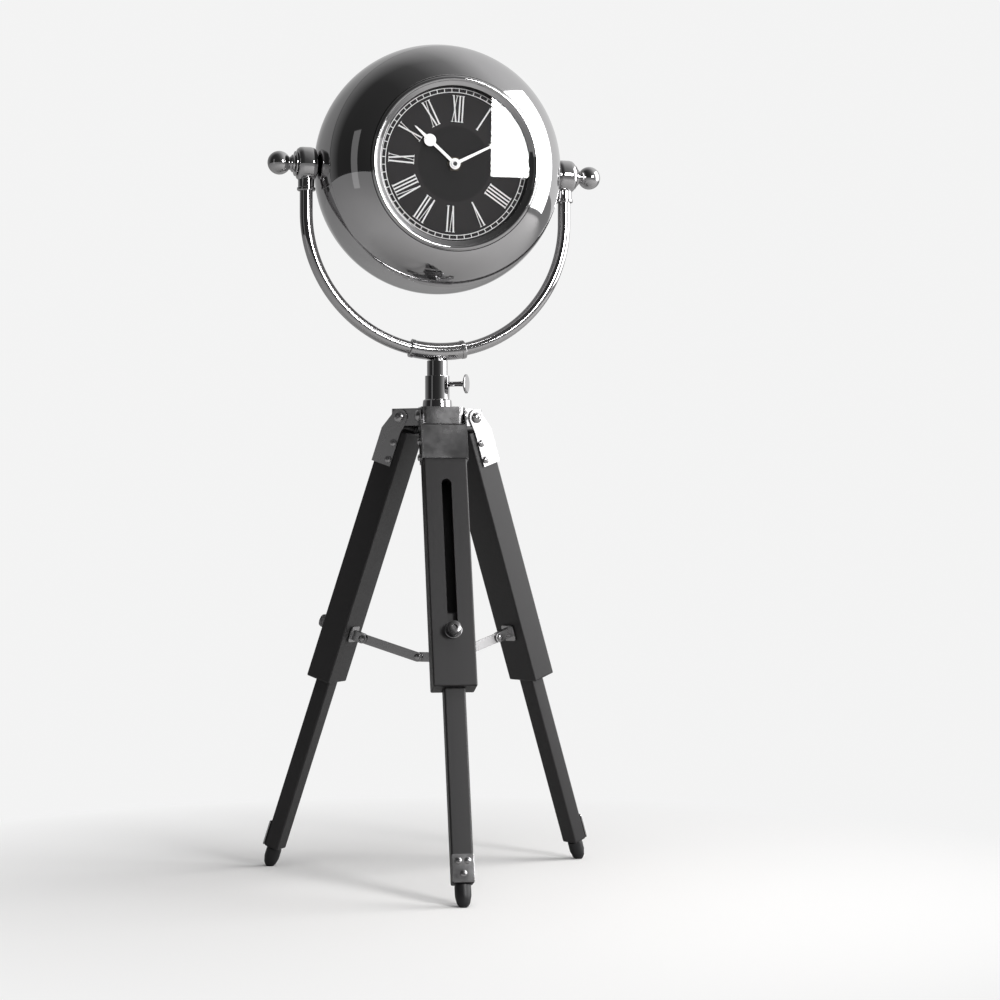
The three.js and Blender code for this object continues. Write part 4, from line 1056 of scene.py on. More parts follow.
class CLOCK_OT_dial(bpy.types.Operator):
    """Makes the dial with its minute track and its numerals"""

    bl_idname = "tripod_clock.dial"
    bl_label = "Dial"

    def execute(self, context):
        h = context.scene.clock_head
        s = context.scene.clock_dial
        nozzle_hole = 4.3 * MM
        plate = ringed(
            "dial_sheet",
            [
                (h.dial_forward - h.dial_gauge, nozzle_hole),
                (h.dial_forward - h.dial_gauge, h.dial_radius),
                (h.dial_forward - 0.2 * MM, h.dial_radius),
                (h.dial_forward, h.dial_radius - 0.3 * MM),
                (h.dial_forward, nozzle_hole),
            ],
            96,
        )
        settled(plate, HEAD)
        handed_over(plate, stock("charcoal_dial"), "head", "dial_black", "dial_plate", smooth=20)

        low = h.dial_forward + 0.01 * MM
        high = low + s.print_height
        turn = Matrix.Rotation(-s.turn, 4, "Z")
        for name, radius in (("minute_ring_outer", s.track_outer), ("minute_ring_inner", s.track_inner)):
            ring = ringed(
                name,
                [
                    (low, radius - s.track_line / 2),
                    (low, radius + s.track_line / 2),
                    (high, radius + s.track_line / 2),
                    (high, radius - s.track_line / 2),
                ],
                180,
            )
            settled(ring, HEAD)
            handed_over(ring, stock("white_print"), "head", "dial_black")

        ticks = []
        half = s.tick / 2
        inner = s.track_inner + s.track_line / 2
        outer = s.track_outer - s.track_line / 2
        corners = ((-half, inner), (half, inner), (half, outer), (-half, outer))
        for minute in range(60):
            spin = Matrix.Rotation(-2 * math.pi * minute / 60, 2)
            ticks.append([tuple(spin @ Vector(corner)) for corner in corners])
        marks = plated("minute_marks", ticks, low, high)
        settled(marks, HEAD @ turn)
        handed_over(marks, stock("white_print"), "head", "dial_black")

        middle = Vector((0, (s.numeral_inner + s.numeral_outer) / 2))
        for hour, text in enumerate(NUMERALS):
            spin = Matrix.Rotation(-2 * math.pi * hour / 12, 2)
            made = open_mesh(f"numeral_{hour or 12}")
            for count, corners in enumerate(numeral_strokes(text, s)):
                outlined_face([tuple(spin @ (Vector(corner) + middle)) for corner in corners], low)
                # each stroke is a little thicker than the last, so that no two faces share a level
                lift = s.print_height * (1 + 0.06 * count)
                bpy.ops.mesh.extrude_region_move(TRANSFORM_OT_translate={"value": (0, 0, lift)})
                bpy.ops.mesh.select_all(action="DESELECT")
            close_mesh(made)
            settled(made, HEAD @ turn)
            handed_over(made, stock("white_print"), "head", "dial_black")
        return {"FINISHED"}


class CLOCK_OT_hands(bpy.types.Operator):
    """Makes the hour hand and the minute hand"""

    bl_idname = "tripod_clock.hands"
    bl_label = "Hands"

    def execute(self, context):
        s = context.scene.clock_dial
        arbor = 1.75 * MM

        def circle(y, radius, start, end, steps):
            turns = [start + (end - start) * i / steps for i in range(steps + 1)]
            return [(radius * math.sin(turn), y + radius * math.cos(turn)) for turn in turns]

        def hand(node, outline, face, boss, turn):
            blade = plated(f"{node}_blade", [outline], face - s.gauge, face)
            eased(blade, 0.16 * MM, 2, 30)
            bored(blade, round_rod("arbor_bore", arbor, face - 4 * MM, face + 4 * MM))
            if boss > face:
                cap = ringed(
                    "hand_boss",
                    [
                        (face - s.gauge / 2, arbor),
                        (face - s.gauge / 2, 3.1 * MM),
                        (boss - 0.25 * MM, 3.0 * MM),
                        (boss, 2.7 * MM),
                        (boss, arbor),
                    ],
                    48,
                )
                welded(blade, cap)
            settled(blade, HEAD @ Matrix.Rotation(-turn, 4, "Z"))
            handed_over(blade, stock("satin_hands"), node, "satin_silver", node)

        half_root = s.hour_width / 2
        bulb_join = math.pi - math.asin(half_root / s.hour_bulb)
        hub_join = math.asin(half_root / s.hub)
        neck = 1.25 * MM
        top_join = math.asin(neck / s.hour_bulb)
        hour_outline = [
            *circle(0, s.hub, hub_join, 2 * math.pi - hub_join, 40),
            *circle(s.hour_bulb_out, s.hour_bulb, -bulb_join, -top_join, 18),
            (-s.tip / 2, s.hour_hand - 1 * MM),
            (0, s.hour_hand),
            (s.tip / 2, s.hour_hand - 1 * MM),
            *circle(s.hour_bulb_out, s.hour_bulb, top_join, bulb_join, 18),
        ]
        minutes = s.minute / 60
        hour_angle = 2 * math.pi * ((s.hour + minutes) / 12) + s.turn + s.hour_lead
        hand("hour_hand", hour_outline, s.hour_forward, 0, hour_angle)

        half_root = s.minute_width / 2
        hub_join = math.asin(half_root / s.hub)
        minute_outline = [
            *circle(0, s.hub, hub_join, 2 * math.pi - hub_join, 40),
            (-s.tip / 2, s.minute_hand - 0.8 * MM),
            (0, s.minute_hand),
            (s.tip / 2, s.minute_hand - 0.8 * MM),
        ]
        minute_angle = 2 * math.pi * minutes + s.turn
        hand("minute_hand", minute_outline, s.minute_forward, s.boss_forward, minute_angle)
        return {"FINISHED"}


class CLOCK_OT_movement(bpy.types.Operator):
    """Finishes the movement, its cell, its nut and the trunnion studs inside the head"""

    bl_idname = "tripod_clock.movement"
    bl_label = "Movement"

    def execute(self, context):
        finishes = {
            "movement_case": "movement_plastic",
            "setting_knob": "movement_plastic",
            "battery": "cell_wrap",
            "movement_nut": "blackened_brass",
            "trunnion_right": "worn_chrome",
            "trunnion_left": "worn_chrome",
        }
        for node, key in finishes.items():
            mesh = frame["nodes"][node].data
            mesh.materials.clear()
            mesh.materials.append(stock(key))
        return {"FINISHED"}


# The yoke


def bent_bar(name, radius, half_angle, steps, sides=32):
    """A round bar bent round the yoke's centre, from one side of the bottom to the other, with open ends."""
    bend = bpy.context.scene.clock_yoke.radius
    made = open_mesh(name)
    out = Vector((-math.sin(half_angle), 0, -math.cos(half_angle)))
    section = bow(bend, 0, radius, 0, 360, sides)
    draw([out * reach + Vector((0, y, 0)) for reach, y in section])
    bpy.ops.mesh.remove_doubles(threshold=1e-6)
    bpy.ops.mesh.select_all(action="SELECT")
    bpy.ops.mesh.spin(steps=steps, angle=2 * half_angle, center=(0, 0, 0), axis=(0, 1, 0))
    return made


def pick_ring(made, test):
    """In edit mode: selects the vertices that pass a test on their place."""
    mesh = bmesh.from_edit_mesh(made.data)
    for vertex in mesh.verts:
        vertex.select_set(bool(test(vertex.co)))
    mesh.select_flush(True)
    bmesh.update_edit_mesh(made.data)


def capped_bar(name, radius, half_angle, steps):
    """A bent bar with its two ends filled."""
    made = bent_bar(name, radius, half_angle, steps)
    bpy.ops.mesh.select_all(action="DESELECT")
    bpy.ops.mesh.select_mode(type="EDGE")
    bpy.ops.mesh.select_non_manifold(
        extend=False,
        use_wire=False,
        use_boundary=True,
        use_multi_face=False,
        use_non_contiguous=False,
        use_verts=False,
    )
    bpy.ops.mesh.edge_face_add()
    bpy.ops.mesh.select_mode(type="VERT")
    return close_mesh(made)


class CLOCK_OT_yoke(bpy.types.Operator):
    """Makes the bent tube of the yoke and its sleeve"""

    bl_idname = "tripod_clock.yoke"
    bl_label = "Yoke"

    def execute(self, context):
        s = context.scene.clock_yoke
        down = YOKE @ Matrix.Translation((0, 0, -s.drop))
        tube = bent_bar("yoke_bent_tube", s.tube, math.pi / 2, 96)
        for sign in (1, -1):
            bpy.ops.mesh.select_all(action="DESELECT")
            pick_ring(tube, lambda spot: spot.z > -1e-5 and spot.x * sign > 0)
            bpy.ops.mesh.edge_face_add()
            bpy.ops.mesh.extrude_region_move(TRANSFORM_OT_translate={"value": (0, 0, s.drop - s.tube_end)})
        close_mesh(tube)
        settled(tube, down)
        handed_over(tube, stock("polished_chrome"), "yoke", "polished_metal", "yoke_tube", smooth=40)

        half = s.boss_length / 2 / s.radius
        ring_half = s.ring_length / 2 / s.radius
        sleeve = capped_bar("yoke_sleeve", s.boss, half, 24)
        for sign in (1, -1):
            ring = eased(capped_bar("yoke_sleeve_ring", s.ring, ring_half, 6), 0.9 * MM, 4, 40)
            welded(sleeve, settled(ring, Matrix.Rotation(sign * half, 4, "Y")))
        spigot = round_rod("yoke_spigot", s.spigot, -s.radius - s.spigot_length, -s.radius - s.boss / 2, 48)
        welded(sleeve, spigot)
        clearance = context.scene.clock_head.clearance
        bored(sleeve, capped_bar("yoke_sleeve_core", s.tube + clearance, half + 4 * ring_half, 28))
        settled(sleeve, down)
        handed_over(sleeve, stock("polished_chrome"), "yoke", "polished_metal", "yoke_boss", smooth=40)
        return {"FINISHED"}


class CLOCK_OT_knobs(bpy.types.Operator):
    """Makes the yoke's eyes, the washers and the ball knobs"""

    bl_idname = "tripod_clock.knobs"
    bl_label = "Eyes and ball knobs"

    def execute(self, context):
        s = context.scene.clock_yoke
        gap = context.scene.clock_head.clearance
        bore = s.trunnion + gap
        near = s.radius - s.eye_length / 2
        far = s.radius + s.eye_length / 2
        barrel = ringed(
            "yoke_eye_turning",
            [
                (near, bore),
                (near, s.eye - 3.4 * MM),
                (near + 0.8 * MM, s.eye - 1.5 * MM),
                (near + 2.3 * MM, s.eye - 0.35 * MM),
                (near + 4.4 * MM, s.eye),
                (far - 4.4 * MM, s.eye),
                (far - 2.3 * MM, s.eye - 0.35 * MM),
                (far - 0.8 * MM, s.eye - 1.5 * MM),
                (far, s.eye - 3.4 * MM),
                (far, bore),
            ],
            72,
        )
        neck = lathed(
            "yoke_eye_neck",
            [
                (-s.neck_bottom, 0),
                (-s.neck_bottom, s.neck_ring - 0.5 * MM),
                (-s.neck_bottom + 0.5 * MM, s.neck_ring),
                (-s.neck_bottom + s.neck_ring_height - 0.5 * MM, s.neck_ring),
                (-s.neck_bottom + s.neck_ring_height, s.neck_ring - 0.5 * MM),
                (-s.neck_bottom + s.neck_ring_height, s.neck),
                (-s.eye + 1.4 * MM, s.neck),
                (-s.eye + 3 * MM, s.neck - 1 * MM),
                (-s.eye + 3 * MM, 0),
            ],
            48,
        )
        # the barrel lies along the trunnion and the neck hangs from it: in this frame down is +X
        down = place((0, 0, s.radius), (-1, 0, 0), (0, 1, 0))
        settled(neck, down)
        welded(barrel, neck)
        socket = round_rod("tube_socket", s.tube + gap, -s.neck_bottom - 2 * MM, -s.tube_end + gap, 40)
        settled(socket, down)
        bored(barrel, socket)
        hole = round_rod("trunnion_hole", bore, near - 2 * MM, far + 2 * MM, 40)
        bored(barrel, hole)

        washer = ringed(
            "yoke_washer",
            [
                (far + gap, bore),
                (far + gap, s.washer),
                (far + gap + s.washer_gauge, s.washer),
                (far + gap + s.washer_gauge, bore),
            ],
            72,
        )
        eased(washer, 0.45 * MM, 3, 40)

        start = far + 2 * gap + s.washer_gauge
        centre = s.knob_span - s.knob
        neck_end = start + s.knob_neck_length
        join = math.pi - math.asin(s.knob_neck * 0.86 / s.knob)
        knob = ringed(
            "ball_knob_turning",
            [
                (start, bore),
                (start, s.knob_neck + 0.9 * MM),
                (start + 0.5 * MM, s.knob_neck + 1.3 * MM),
                (start + 1.6 * MM, s.knob_neck + 1.3 * MM),
                (start + 2.1 * MM, s.knob_neck + 0.7 * MM),
                (start + 2.6 * MM, s.knob_neck),
                (neck_end - 0.6 * MM, s.knob_neck * 0.9),
                *arc(centre, 0, s.knob, join, 0.05, 28),
                (centre + s.knob, 0.01 * MM),
                (centre - 3 * MM, 0.01 * MM),
                (centre - 3 * MM, bore),
            ],
            72,
        )
        finish = ("polished_chrome", "polished_metal")
        for side in HANDS:
            for pattern, name, body, node in (
                (barrel, f"yoke_eye_{side}_turning", "yoke", f"yoke_eye_{side}"),
                (washer, f"yoke_washer_{side}", "yoke", f"washer_{side}"),
                (knob, f"ball_knob_{side}_turning", f"knob_{side}", f"ball_knob_{side}"),
            ):
                fitted(pattern, name, TRUNNION[side], finish, body, node, 28)
        discarded(barrel, washer, knob)
        return {"FINISHED"}


# The post and the hub


class CLOCK_OT_post(bpy.types.Operator):
    """Makes the post, the clamp sleeve and the thumbscrew"""

    bl_idname = "tripod_clock.post"
    bl_label = "Post and clamp"

    def execute(self, context):
        s = context.scene.clock_post
        gap = context.scene.clock_head.clearance
        low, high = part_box("post_tube")
        post = ringed(
            "post_drawn_tube",
            [(low.z, s.radius - s.wall), (low.z, s.radius), (high.z, s.radius), (high.z, s.radius - s.wall)],
            72,
        )
        eased(post, 0.5 * MM, 3, 40)
        settled(post, POST)
        handed_over(post, stock("polished_chrome"), "post", "polished_metal", "post_tube")

        bore = s.radius + gap
        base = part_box("clamp_sleeve")[0].z
        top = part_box("clamp_sleeve")[1].z
        step = base + s.flange_height
        sleeve = ringed(
            "clamp_sleeve_turning",
            [
                (base, bore),
                (base, s.flange),
                (step - 0.7 * MM, s.flange_top),
                (step, s.flange_top - 0.7 * MM),
                (step, bore + s.sleeve_wall),
                (top, bore + s.sleeve_wall),
                (top, bore),
            ],
            72,
        )
        eased(sleeve, 0.3 * MM, 3, 50)
        settled(sleeve, POST)
        low, high = step + 0.4 * MM, SCREW.translation.z
        wedge = [(-s.slit_foot / 2, low), (s.slit_foot / 2, low), (s.slit / 2, high), (-s.slit / 2, high)]
        slit = plated("sleeve_slit", [wedge], 0, s.flange)
        # it cuts outward from the post's axis, a little round from the thumbscrew
        settled(slit, ACROSS_AND_UP)
        out = axis_of("thumbscrew_turn")
        settled(slit, POST @ Matrix.Rotation(math.atan2(out.y, out.x) - s.slit_turn, 4, "Z"))
        bored(sleeve, slit)
        hole = round_rod("screw_hole", s.screw + gap, 0, s.flange, 32)
        settled(hole, SCREW)
        bored(sleeve, hole)
        handed_over(sleeve, stock("polished_chrome"), "stand", "polished_metal", "clamp_sleeve")

        reach = s.screw_reach
        face = reach - s.screw_head_gauge
        screw = lathed(
            "thumbscrew_turning",
            [
                (s.radius + gap, 0),
                (s.radius + gap, s.screw),
                (face - 6 * MM, s.screw),
                (face - 2.2 * MM, s.screw * 1.06),
                (face - 0.8 * MM, s.screw * 1.5),
                (face, 3.1 * MM),
                (face, s.screw_head - 0.8 * MM),
                (face + 0.5 * MM, s.screw_head),
                (reach - 0.5 * MM, s.screw_head),
                (reach - 0.1 * MM, s.screw_head - 0.7 * MM),
                (reach, s.screw_head - 1.8 * MM),
                (reach, 0),
            ],
            64,
        )
        settled(screw, SCREW)
        handed_over(screw, stock("polished_chrome"), "thumbscrew", "polished_metal", "thumbscrew", smooth=25)
        return {"FINISHED"}


class CLOCK_OT_hub(bpy.types.Operator):
    """Makes the hub with its three lobes and the pivot bolts"""

    bl_idname = "tripod_clock.hub"
    bl_label = "Hub"

    def execute(self, context):
        s = context.scene.clock_post
        legs = context.scene.clock_legs
        gap = context.scene.clock_head.clearance
        level = pin_of("leg_front_fold").z
        low, high = level - s.hub_height / 2, level + s.hub_height / 2
        hub = round_rod("hub_casting", s.hub_core, low, high, 96)
        lobe = plated(
            "hub_lobe",
            [rounded(0, s.hub_reach, -legs.width / 2, legs.width / 2, s.hub_corner, 8)],
            low + 0.01 * MM,
            high - 0.01 * MM,
        )
        for side in SIDES:
            welded(hub, copied(lobe, "hub_lobe_copy", turned_out(side)))
        discarded(lobe)
        bored(hub, round_rod("post_bore", s.radius + gap, low - MM, high + MM, 72))
        eased(hub, 0.7 * MM, 3, 50)
        settled(hub, POST)
        handed_over(hub, stock("worn_chrome"), "stand", "polished_metal", "hub", smooth=35)

        finish = ("worn_chrome", "polished_metal")
        half_grip = legs.width / 2 + 2 * gap + legs.plate_gauge
        bolt = headed_pin("pivot_bolt_pattern", s.bolt, s.bolt_head, s.bolt_head_height, half_grip)
        for side in SIDES:
            node = f"pivot_bolt_{side}"
            fitted(bolt, f"{node}_headed", LEG[side] @ ALONG_Y, finish, "stand", node, 30)
        discarded(bolt)
        return {"FINISHED"}


def headed_pin(name, shank, head, height, half_grip, steps=40):
    """A pin along Z with a domed head at each end, and a cross cut in each head."""
    dome = ((1, 0), (0.94, 0.45), (0.72, 0.78), (0.35, 0.97), (0, 1))
    first = [(-half_grip - height * rise, head * out) for rise, out in dome]
    last = [(half_grip + height * rise, head * out) for rise, out in reversed(dome)]
    made = lathed(name, [*first, (-half_grip, shank), (half_grip, shank), *last], steps)
    reach = head * 0.36
    above, inside = half_grip + height * 1.2, half_grip + height * 0.45
    crossed(made, reach, reach * 0.28, inside, above)
    crossed(made, reach, reach * 0.28, -above, -inside)
    return made


# The legs


class CLOCK_OT_legs(bpy.types.Operator):
    """Makes the upper and lower legs of painted wood"""

    bl_idname = "tripod_clock.legs"
    bl_label = "Legs"

    def execute(self, context):
        s = context.scene.clock_legs
        gap = context.scene.clock_head.clearance
        outer = s.thickness / 2
        floor = outer - s.channel_wall
        half = s.lower_width / 2 + gap
        upper = blocked("upper_leg_pattern", (-outer, -s.width / 2, -s.bottom), (outer, s.width / 2, -s.top))
        eased(upper, s.corner, 4, 60)
        back = floor - s.lower_thickness - 2 * gap
        channel = blocked("channel", (back, -half, -s.bottom - MM), (floor, half, -s.channel_top))
        slot_bottom = s.clamp + s.clamp_shank + gap
        radius = s.slot_width / 2
        outline = [
            *bow(0, -s.slot_top - radius, radius, 0, 180, 12),
            *bow(0, -slot_bottom + radius, radius, 180, 360, 12),
        ]
        slot = plated("slot", [outline], floor - 2 * MM, outer + MM)
        settled(slot, ACROSS_AND_UP)
        bored(upper, channel, slot)
        for level in (s.rivet_upper, s.rivet_lower):
            bored(upper, cross_rod("bolt_bore", s.rivet + gap, s.width / 2 + MM, -s.rivet_inward, -level))
        eased(upper, 0.35 * MM, 2, 60)

        lower_face = floor - gap
        lower_back = lower_face - s.lower_thickness
        half = s.lower_width / 2
        low, high = (lower_back, -half, -s.lower_bottom), (lower_face, half, -s.lower_top)
        lower = blocked("lower_leg_pattern", low, high)
        eased(lower, s.lower_corner, 4, 60)
        shank = round_rod("clamp_bore", s.clamp_shank + gap, -s.thickness, s.thickness, 32)
        settled(shank, Matrix.Translation((0, 0, -s.clamp)) @ ALONG_X)
        bored(lower, shank)
        for side in SIDES:
            for pattern, node, body in (
                (upper, f"upper_leg_{side}", f"leg_{side}"),
                (lower, f"lower_leg_{side}", f"foot_{side}"),
            ):
                finish = (f"painted_leg_{side}", "black_wood")
                fitted(pattern, f"{node}_timber", LEG[side], finish, body, node)
        discarded(upper, lower)
        return {"FINISHED"}


class CLOCK_OT_brackets(bpy.types.Operator):
    """Makes the folded brackets at the tops of the legs and their bolts"""

    bl_idname = "tripod_clock.brackets"
    bl_label = "Leg brackets"

    def execute(self, context):
        s = context.scene.clock_legs
        post = context.scene.clock_post
        gap = context.scene.clock_head.clearance
        half = s.width / 2 + gap + s.plate_gauge
        face = s.thickness / 2 + gap + s.plate_gauge
        outline = [
            (-s.plate_inner, -s.plate_bottom),
            (face, -s.plate_bottom),
            (face, -s.plate_top),
            *bow(0, 0, s.ear, 0, 180, 20),
            (-s.plate_inner, -s.plate_top),
        ]
        bracket, other = (
            settled(plated("bracket_cheek", [outline], -(y + s.plate_gauge), -y), OUT_AND_UP)
            for y in (-half, half - s.plate_gauge)
        )
        welded(bracket, other)
        low, high = (face - s.plate_gauge, -half, -s.plate_bottom), (face, half, -s.plate_top)
        front = blocked("bracket_face", low, high)
        eased(front, 0.2 * MM, 2, 60)
        welded(bracket, front)
        bored(bracket, cross_rod("pivot_bore", post.bolt + gap, half + MM, 0, 0))
        for level in (s.rivet_upper, s.rivet_lower):
            bored(bracket, cross_rod("bolt_bore", s.rivet + gap, half + MM, -s.rivet_inward, -level))
        eased(bracket, 0.4 * MM, 3, 50)
        bolt = headed_pin("bracket_bolt_pattern", s.rivet, s.rivet_head, s.rivet_head_height, half + gap, 32)
        finish = ("worn_chrome", "polished_metal")
        for side in SIDES:
            node = f"leg_bracket_{side}"
            fitted(bracket, f"{node}_folded", LEG[side], finish, f"leg_{side}", node)
            for name, level in (("upper", s.rivet_upper), ("lower", s.rivet_lower)):
                node = f"bracket_bolt_{name}_{side}"
                matrix = LEG[side] @ Matrix.Translation((-s.rivet_inward, 0, -level)) @ ALONG_Y
                fitted(bolt, f"{node}_headed", matrix, finish, f"leg_{side}", node, 30)
        discarded(bracket, bolt)
        return {"FINISHED"}


class CLOCK_OT_clamps(bpy.types.Operator):
    """Makes the knurled clamp knobs on the legs"""

    bl_idname = "tripod_clock.clamps"
    bl_label = "Clamp knobs"

    def execute(self, context):
        s = context.scene.clock_legs
        gap = context.scene.clock_head.clearance
        base = s.thickness / 2 + gap
        inner = s.thickness / 2 - s.channel_wall - s.lower_thickness
        rim = base + s.clamp_washer_gauge
        top = rim + s.clamp_knob_height
        knob = lathed(
            "clamp_knob_pattern",
            [
                (inner, 0),
                (inner, s.clamp_shank),
                (base, s.clamp_shank),
                (base, s.clamp_washer - 0.3 * MM),
                (base + 0.3 * MM, s.clamp_washer),
                (rim - 0.3 * MM, s.clamp_washer),
                (rim, s.clamp_washer - 0.4 * MM),
                (rim, s.clamp_knob - 0.7 * MM),
                (rim + 0.7 * MM, s.clamp_knob - 0.7 * MM),
                (rim + 0.9 * MM, s.clamp_knob - 0.25 * MM),
                (rim + 1.5 * MM, s.clamp_knob - 0.5 * MM),
                (top - 1.8 * MM, s.clamp_knob - 0.5 * MM),
                (top - 1.2 * MM, s.clamp_knob - 0.2 * MM),
                (top - 0.35 * MM, s.clamp_knob - 0.45 * MM),
                (top, s.clamp_knob - 1.4 * MM),
                (top, 2.1 * MM),
                (top - 0.3 * MM, 1.9 * MM),
                (top - 2.4 * MM, 1.8 * MM),
                (top - 2.4 * MM, 0),
            ],
            96,
        )
        ridges = 44
        crest, root = s.clamp_knob, s.clamp_knob - 0.35 * MM
        outline = []
        for ridge in range(ridges):
            for share, radius in ((0.0, root), (0.3, crest), (0.7, crest)):
                turn = 2 * math.pi * (ridge + share) / ridges
                outline.append((radius * math.cos(turn), radius * math.sin(turn)))
        band = plated("knurled_band", [outline], rim + 1.1 * MM, top - 1.4 * MM)
        eased(band, 0.12 * MM, 1, 60)
        welded(knob, band)
        finish = ("knurled_metal", "polished_metal")
        for side in SIDES:
            node = f"clamp_knob_{side}"
            fitted(knob, f"{node}_knurled", clamp_place(side), finish, f"clamp_{side}", node, 25)
        discarded(knob)
        return {"FINISHED"}


class CLOCK_OT_feet(bpy.types.Operator):
    """Makes the foot plates with their screws, and the rubber feet"""

    bl_idname = "tripod_clock.feet"
    bl_label = "Feet"

    def execute(self, context):
        s = context.scene.clock_legs
        gap = context.scene.clock_head.clearance
        back = s.thickness / 2 - s.channel_wall
        front = back + s.foot_plate_gauge
        centre = s.thickness / 2 - s.channel_wall - gap - s.lower_thickness / 2
        half = s.lower_width / 2
        low = s.foot_plate_lift - s.lower_bottom
        outline = rounded(-half, half, low, low + s.foot_plate_length, s.foot_plate_corner, 6)
        plate = plated("foot_plate_pattern", [outline], back, front)
        eased(plate, 0.35 * MM, 3, 50)
        settled(plate, ACROSS_AND_UP)
        spread = s.foot_screw_spread
        height = s.foot_screw_height
        screws = []
        for y, lift, twist in (
            (-spread, s.foot_screw_upper, 20),
            (spread, s.foot_screw_upper, 65),
            (0, s.foot_screw_lower, 38),
        ):
            screw = lathed(
                "foot_screw",
                [
                    (back + 0.2 * MM, 0),
                    (back + 0.2 * MM, s.foot_screw - 0.2 * MM),
                    (front, s.foot_screw),
                    (front + height * 0.4, s.foot_screw * 0.95),
                    (front + height * 0.75, s.foot_screw * 0.72),
                    (front + height * 0.95, s.foot_screw * 0.38),
                    (front + height, 0),
                ],
                32,
            )
            reach = s.foot_screw * 0.52
            crossed(screw, reach, reach * 0.24, front + height * 0.35, front + height * 1.3)
            turn = Matrix.Rotation(math.radians(twist), 4, "Z")
            settled(screw, ACROSS_AND_UP @ Matrix.Translation((y, lift - s.lower_bottom, 0)) @ turn)
            screws.append(screw)
        joined(plate, *screws)
        end = s.lower_bottom + gap
        tip = end + s.foot_length
        socket, socket_depth = 3 * MM, 10 * MM
        foot = lathed(
            "rubber_foot_pattern",
            [
                (-tip, 0),
                (-tip, s.foot_tip - 1 * MM),
                (-tip + 1 * MM, s.foot_tip),
                (-(tip - s.foot_tip * 0.9), s.foot_waist - 0.4 * MM),
                (-(tip - s.foot_tip * 1.7), s.foot_waist + 0.2 * MM),
                (-(end + s.foot_length / 2), s.foot),
                (-end - 1.4 * MM, s.foot),
                (-end - 0.4 * MM, s.foot - 0.15 * MM),
                (-end, s.foot - 0.7 * MM),
                (-end, socket),
                (-end + socket_depth, socket),
                (-end + socket_depth, 0),
            ],
            64,
        )
        settled(foot, Matrix.Translation((centre, 0, 0)))
        rubber = stock("black_rubber_foot")
        for side in SIDES:
            body, node = f"foot_{side}", f"foot_plate_{side}"
            fitted(plate, f"{node}_screwed", LEG[side], ("worn_chrome", "polished_metal"), body, node, 30)
            node = f"rubber_foot_{side}"
            made = level_cut(copied(foot, f"{node}_moulded", LEG[side]))
            handed_over(made, rubber, body, "black_rubber", node, smooth=30)
        discarded(plate, foot)
        return {"FINISHED"}


def level_cut(made):
    """Trims what would reach below the table, and closes the cut."""
    pick(made)
    bpy.ops.object.mode_set(mode="EDIT")
    bpy.ops.mesh.select_all(action="SELECT")
    # with the usual threshold, points up to 0.1 mm below the plane would stay
    bpy.ops.mesh.bisect(
        plane_co=(0, 0, 0.01 * MM),
        plane_no=(0, 0, 1),
        use_fill=True,
        clear_inner=True,
        clear_outer=False,
        threshold=1e-6,
    )
    return close_mesh(made)


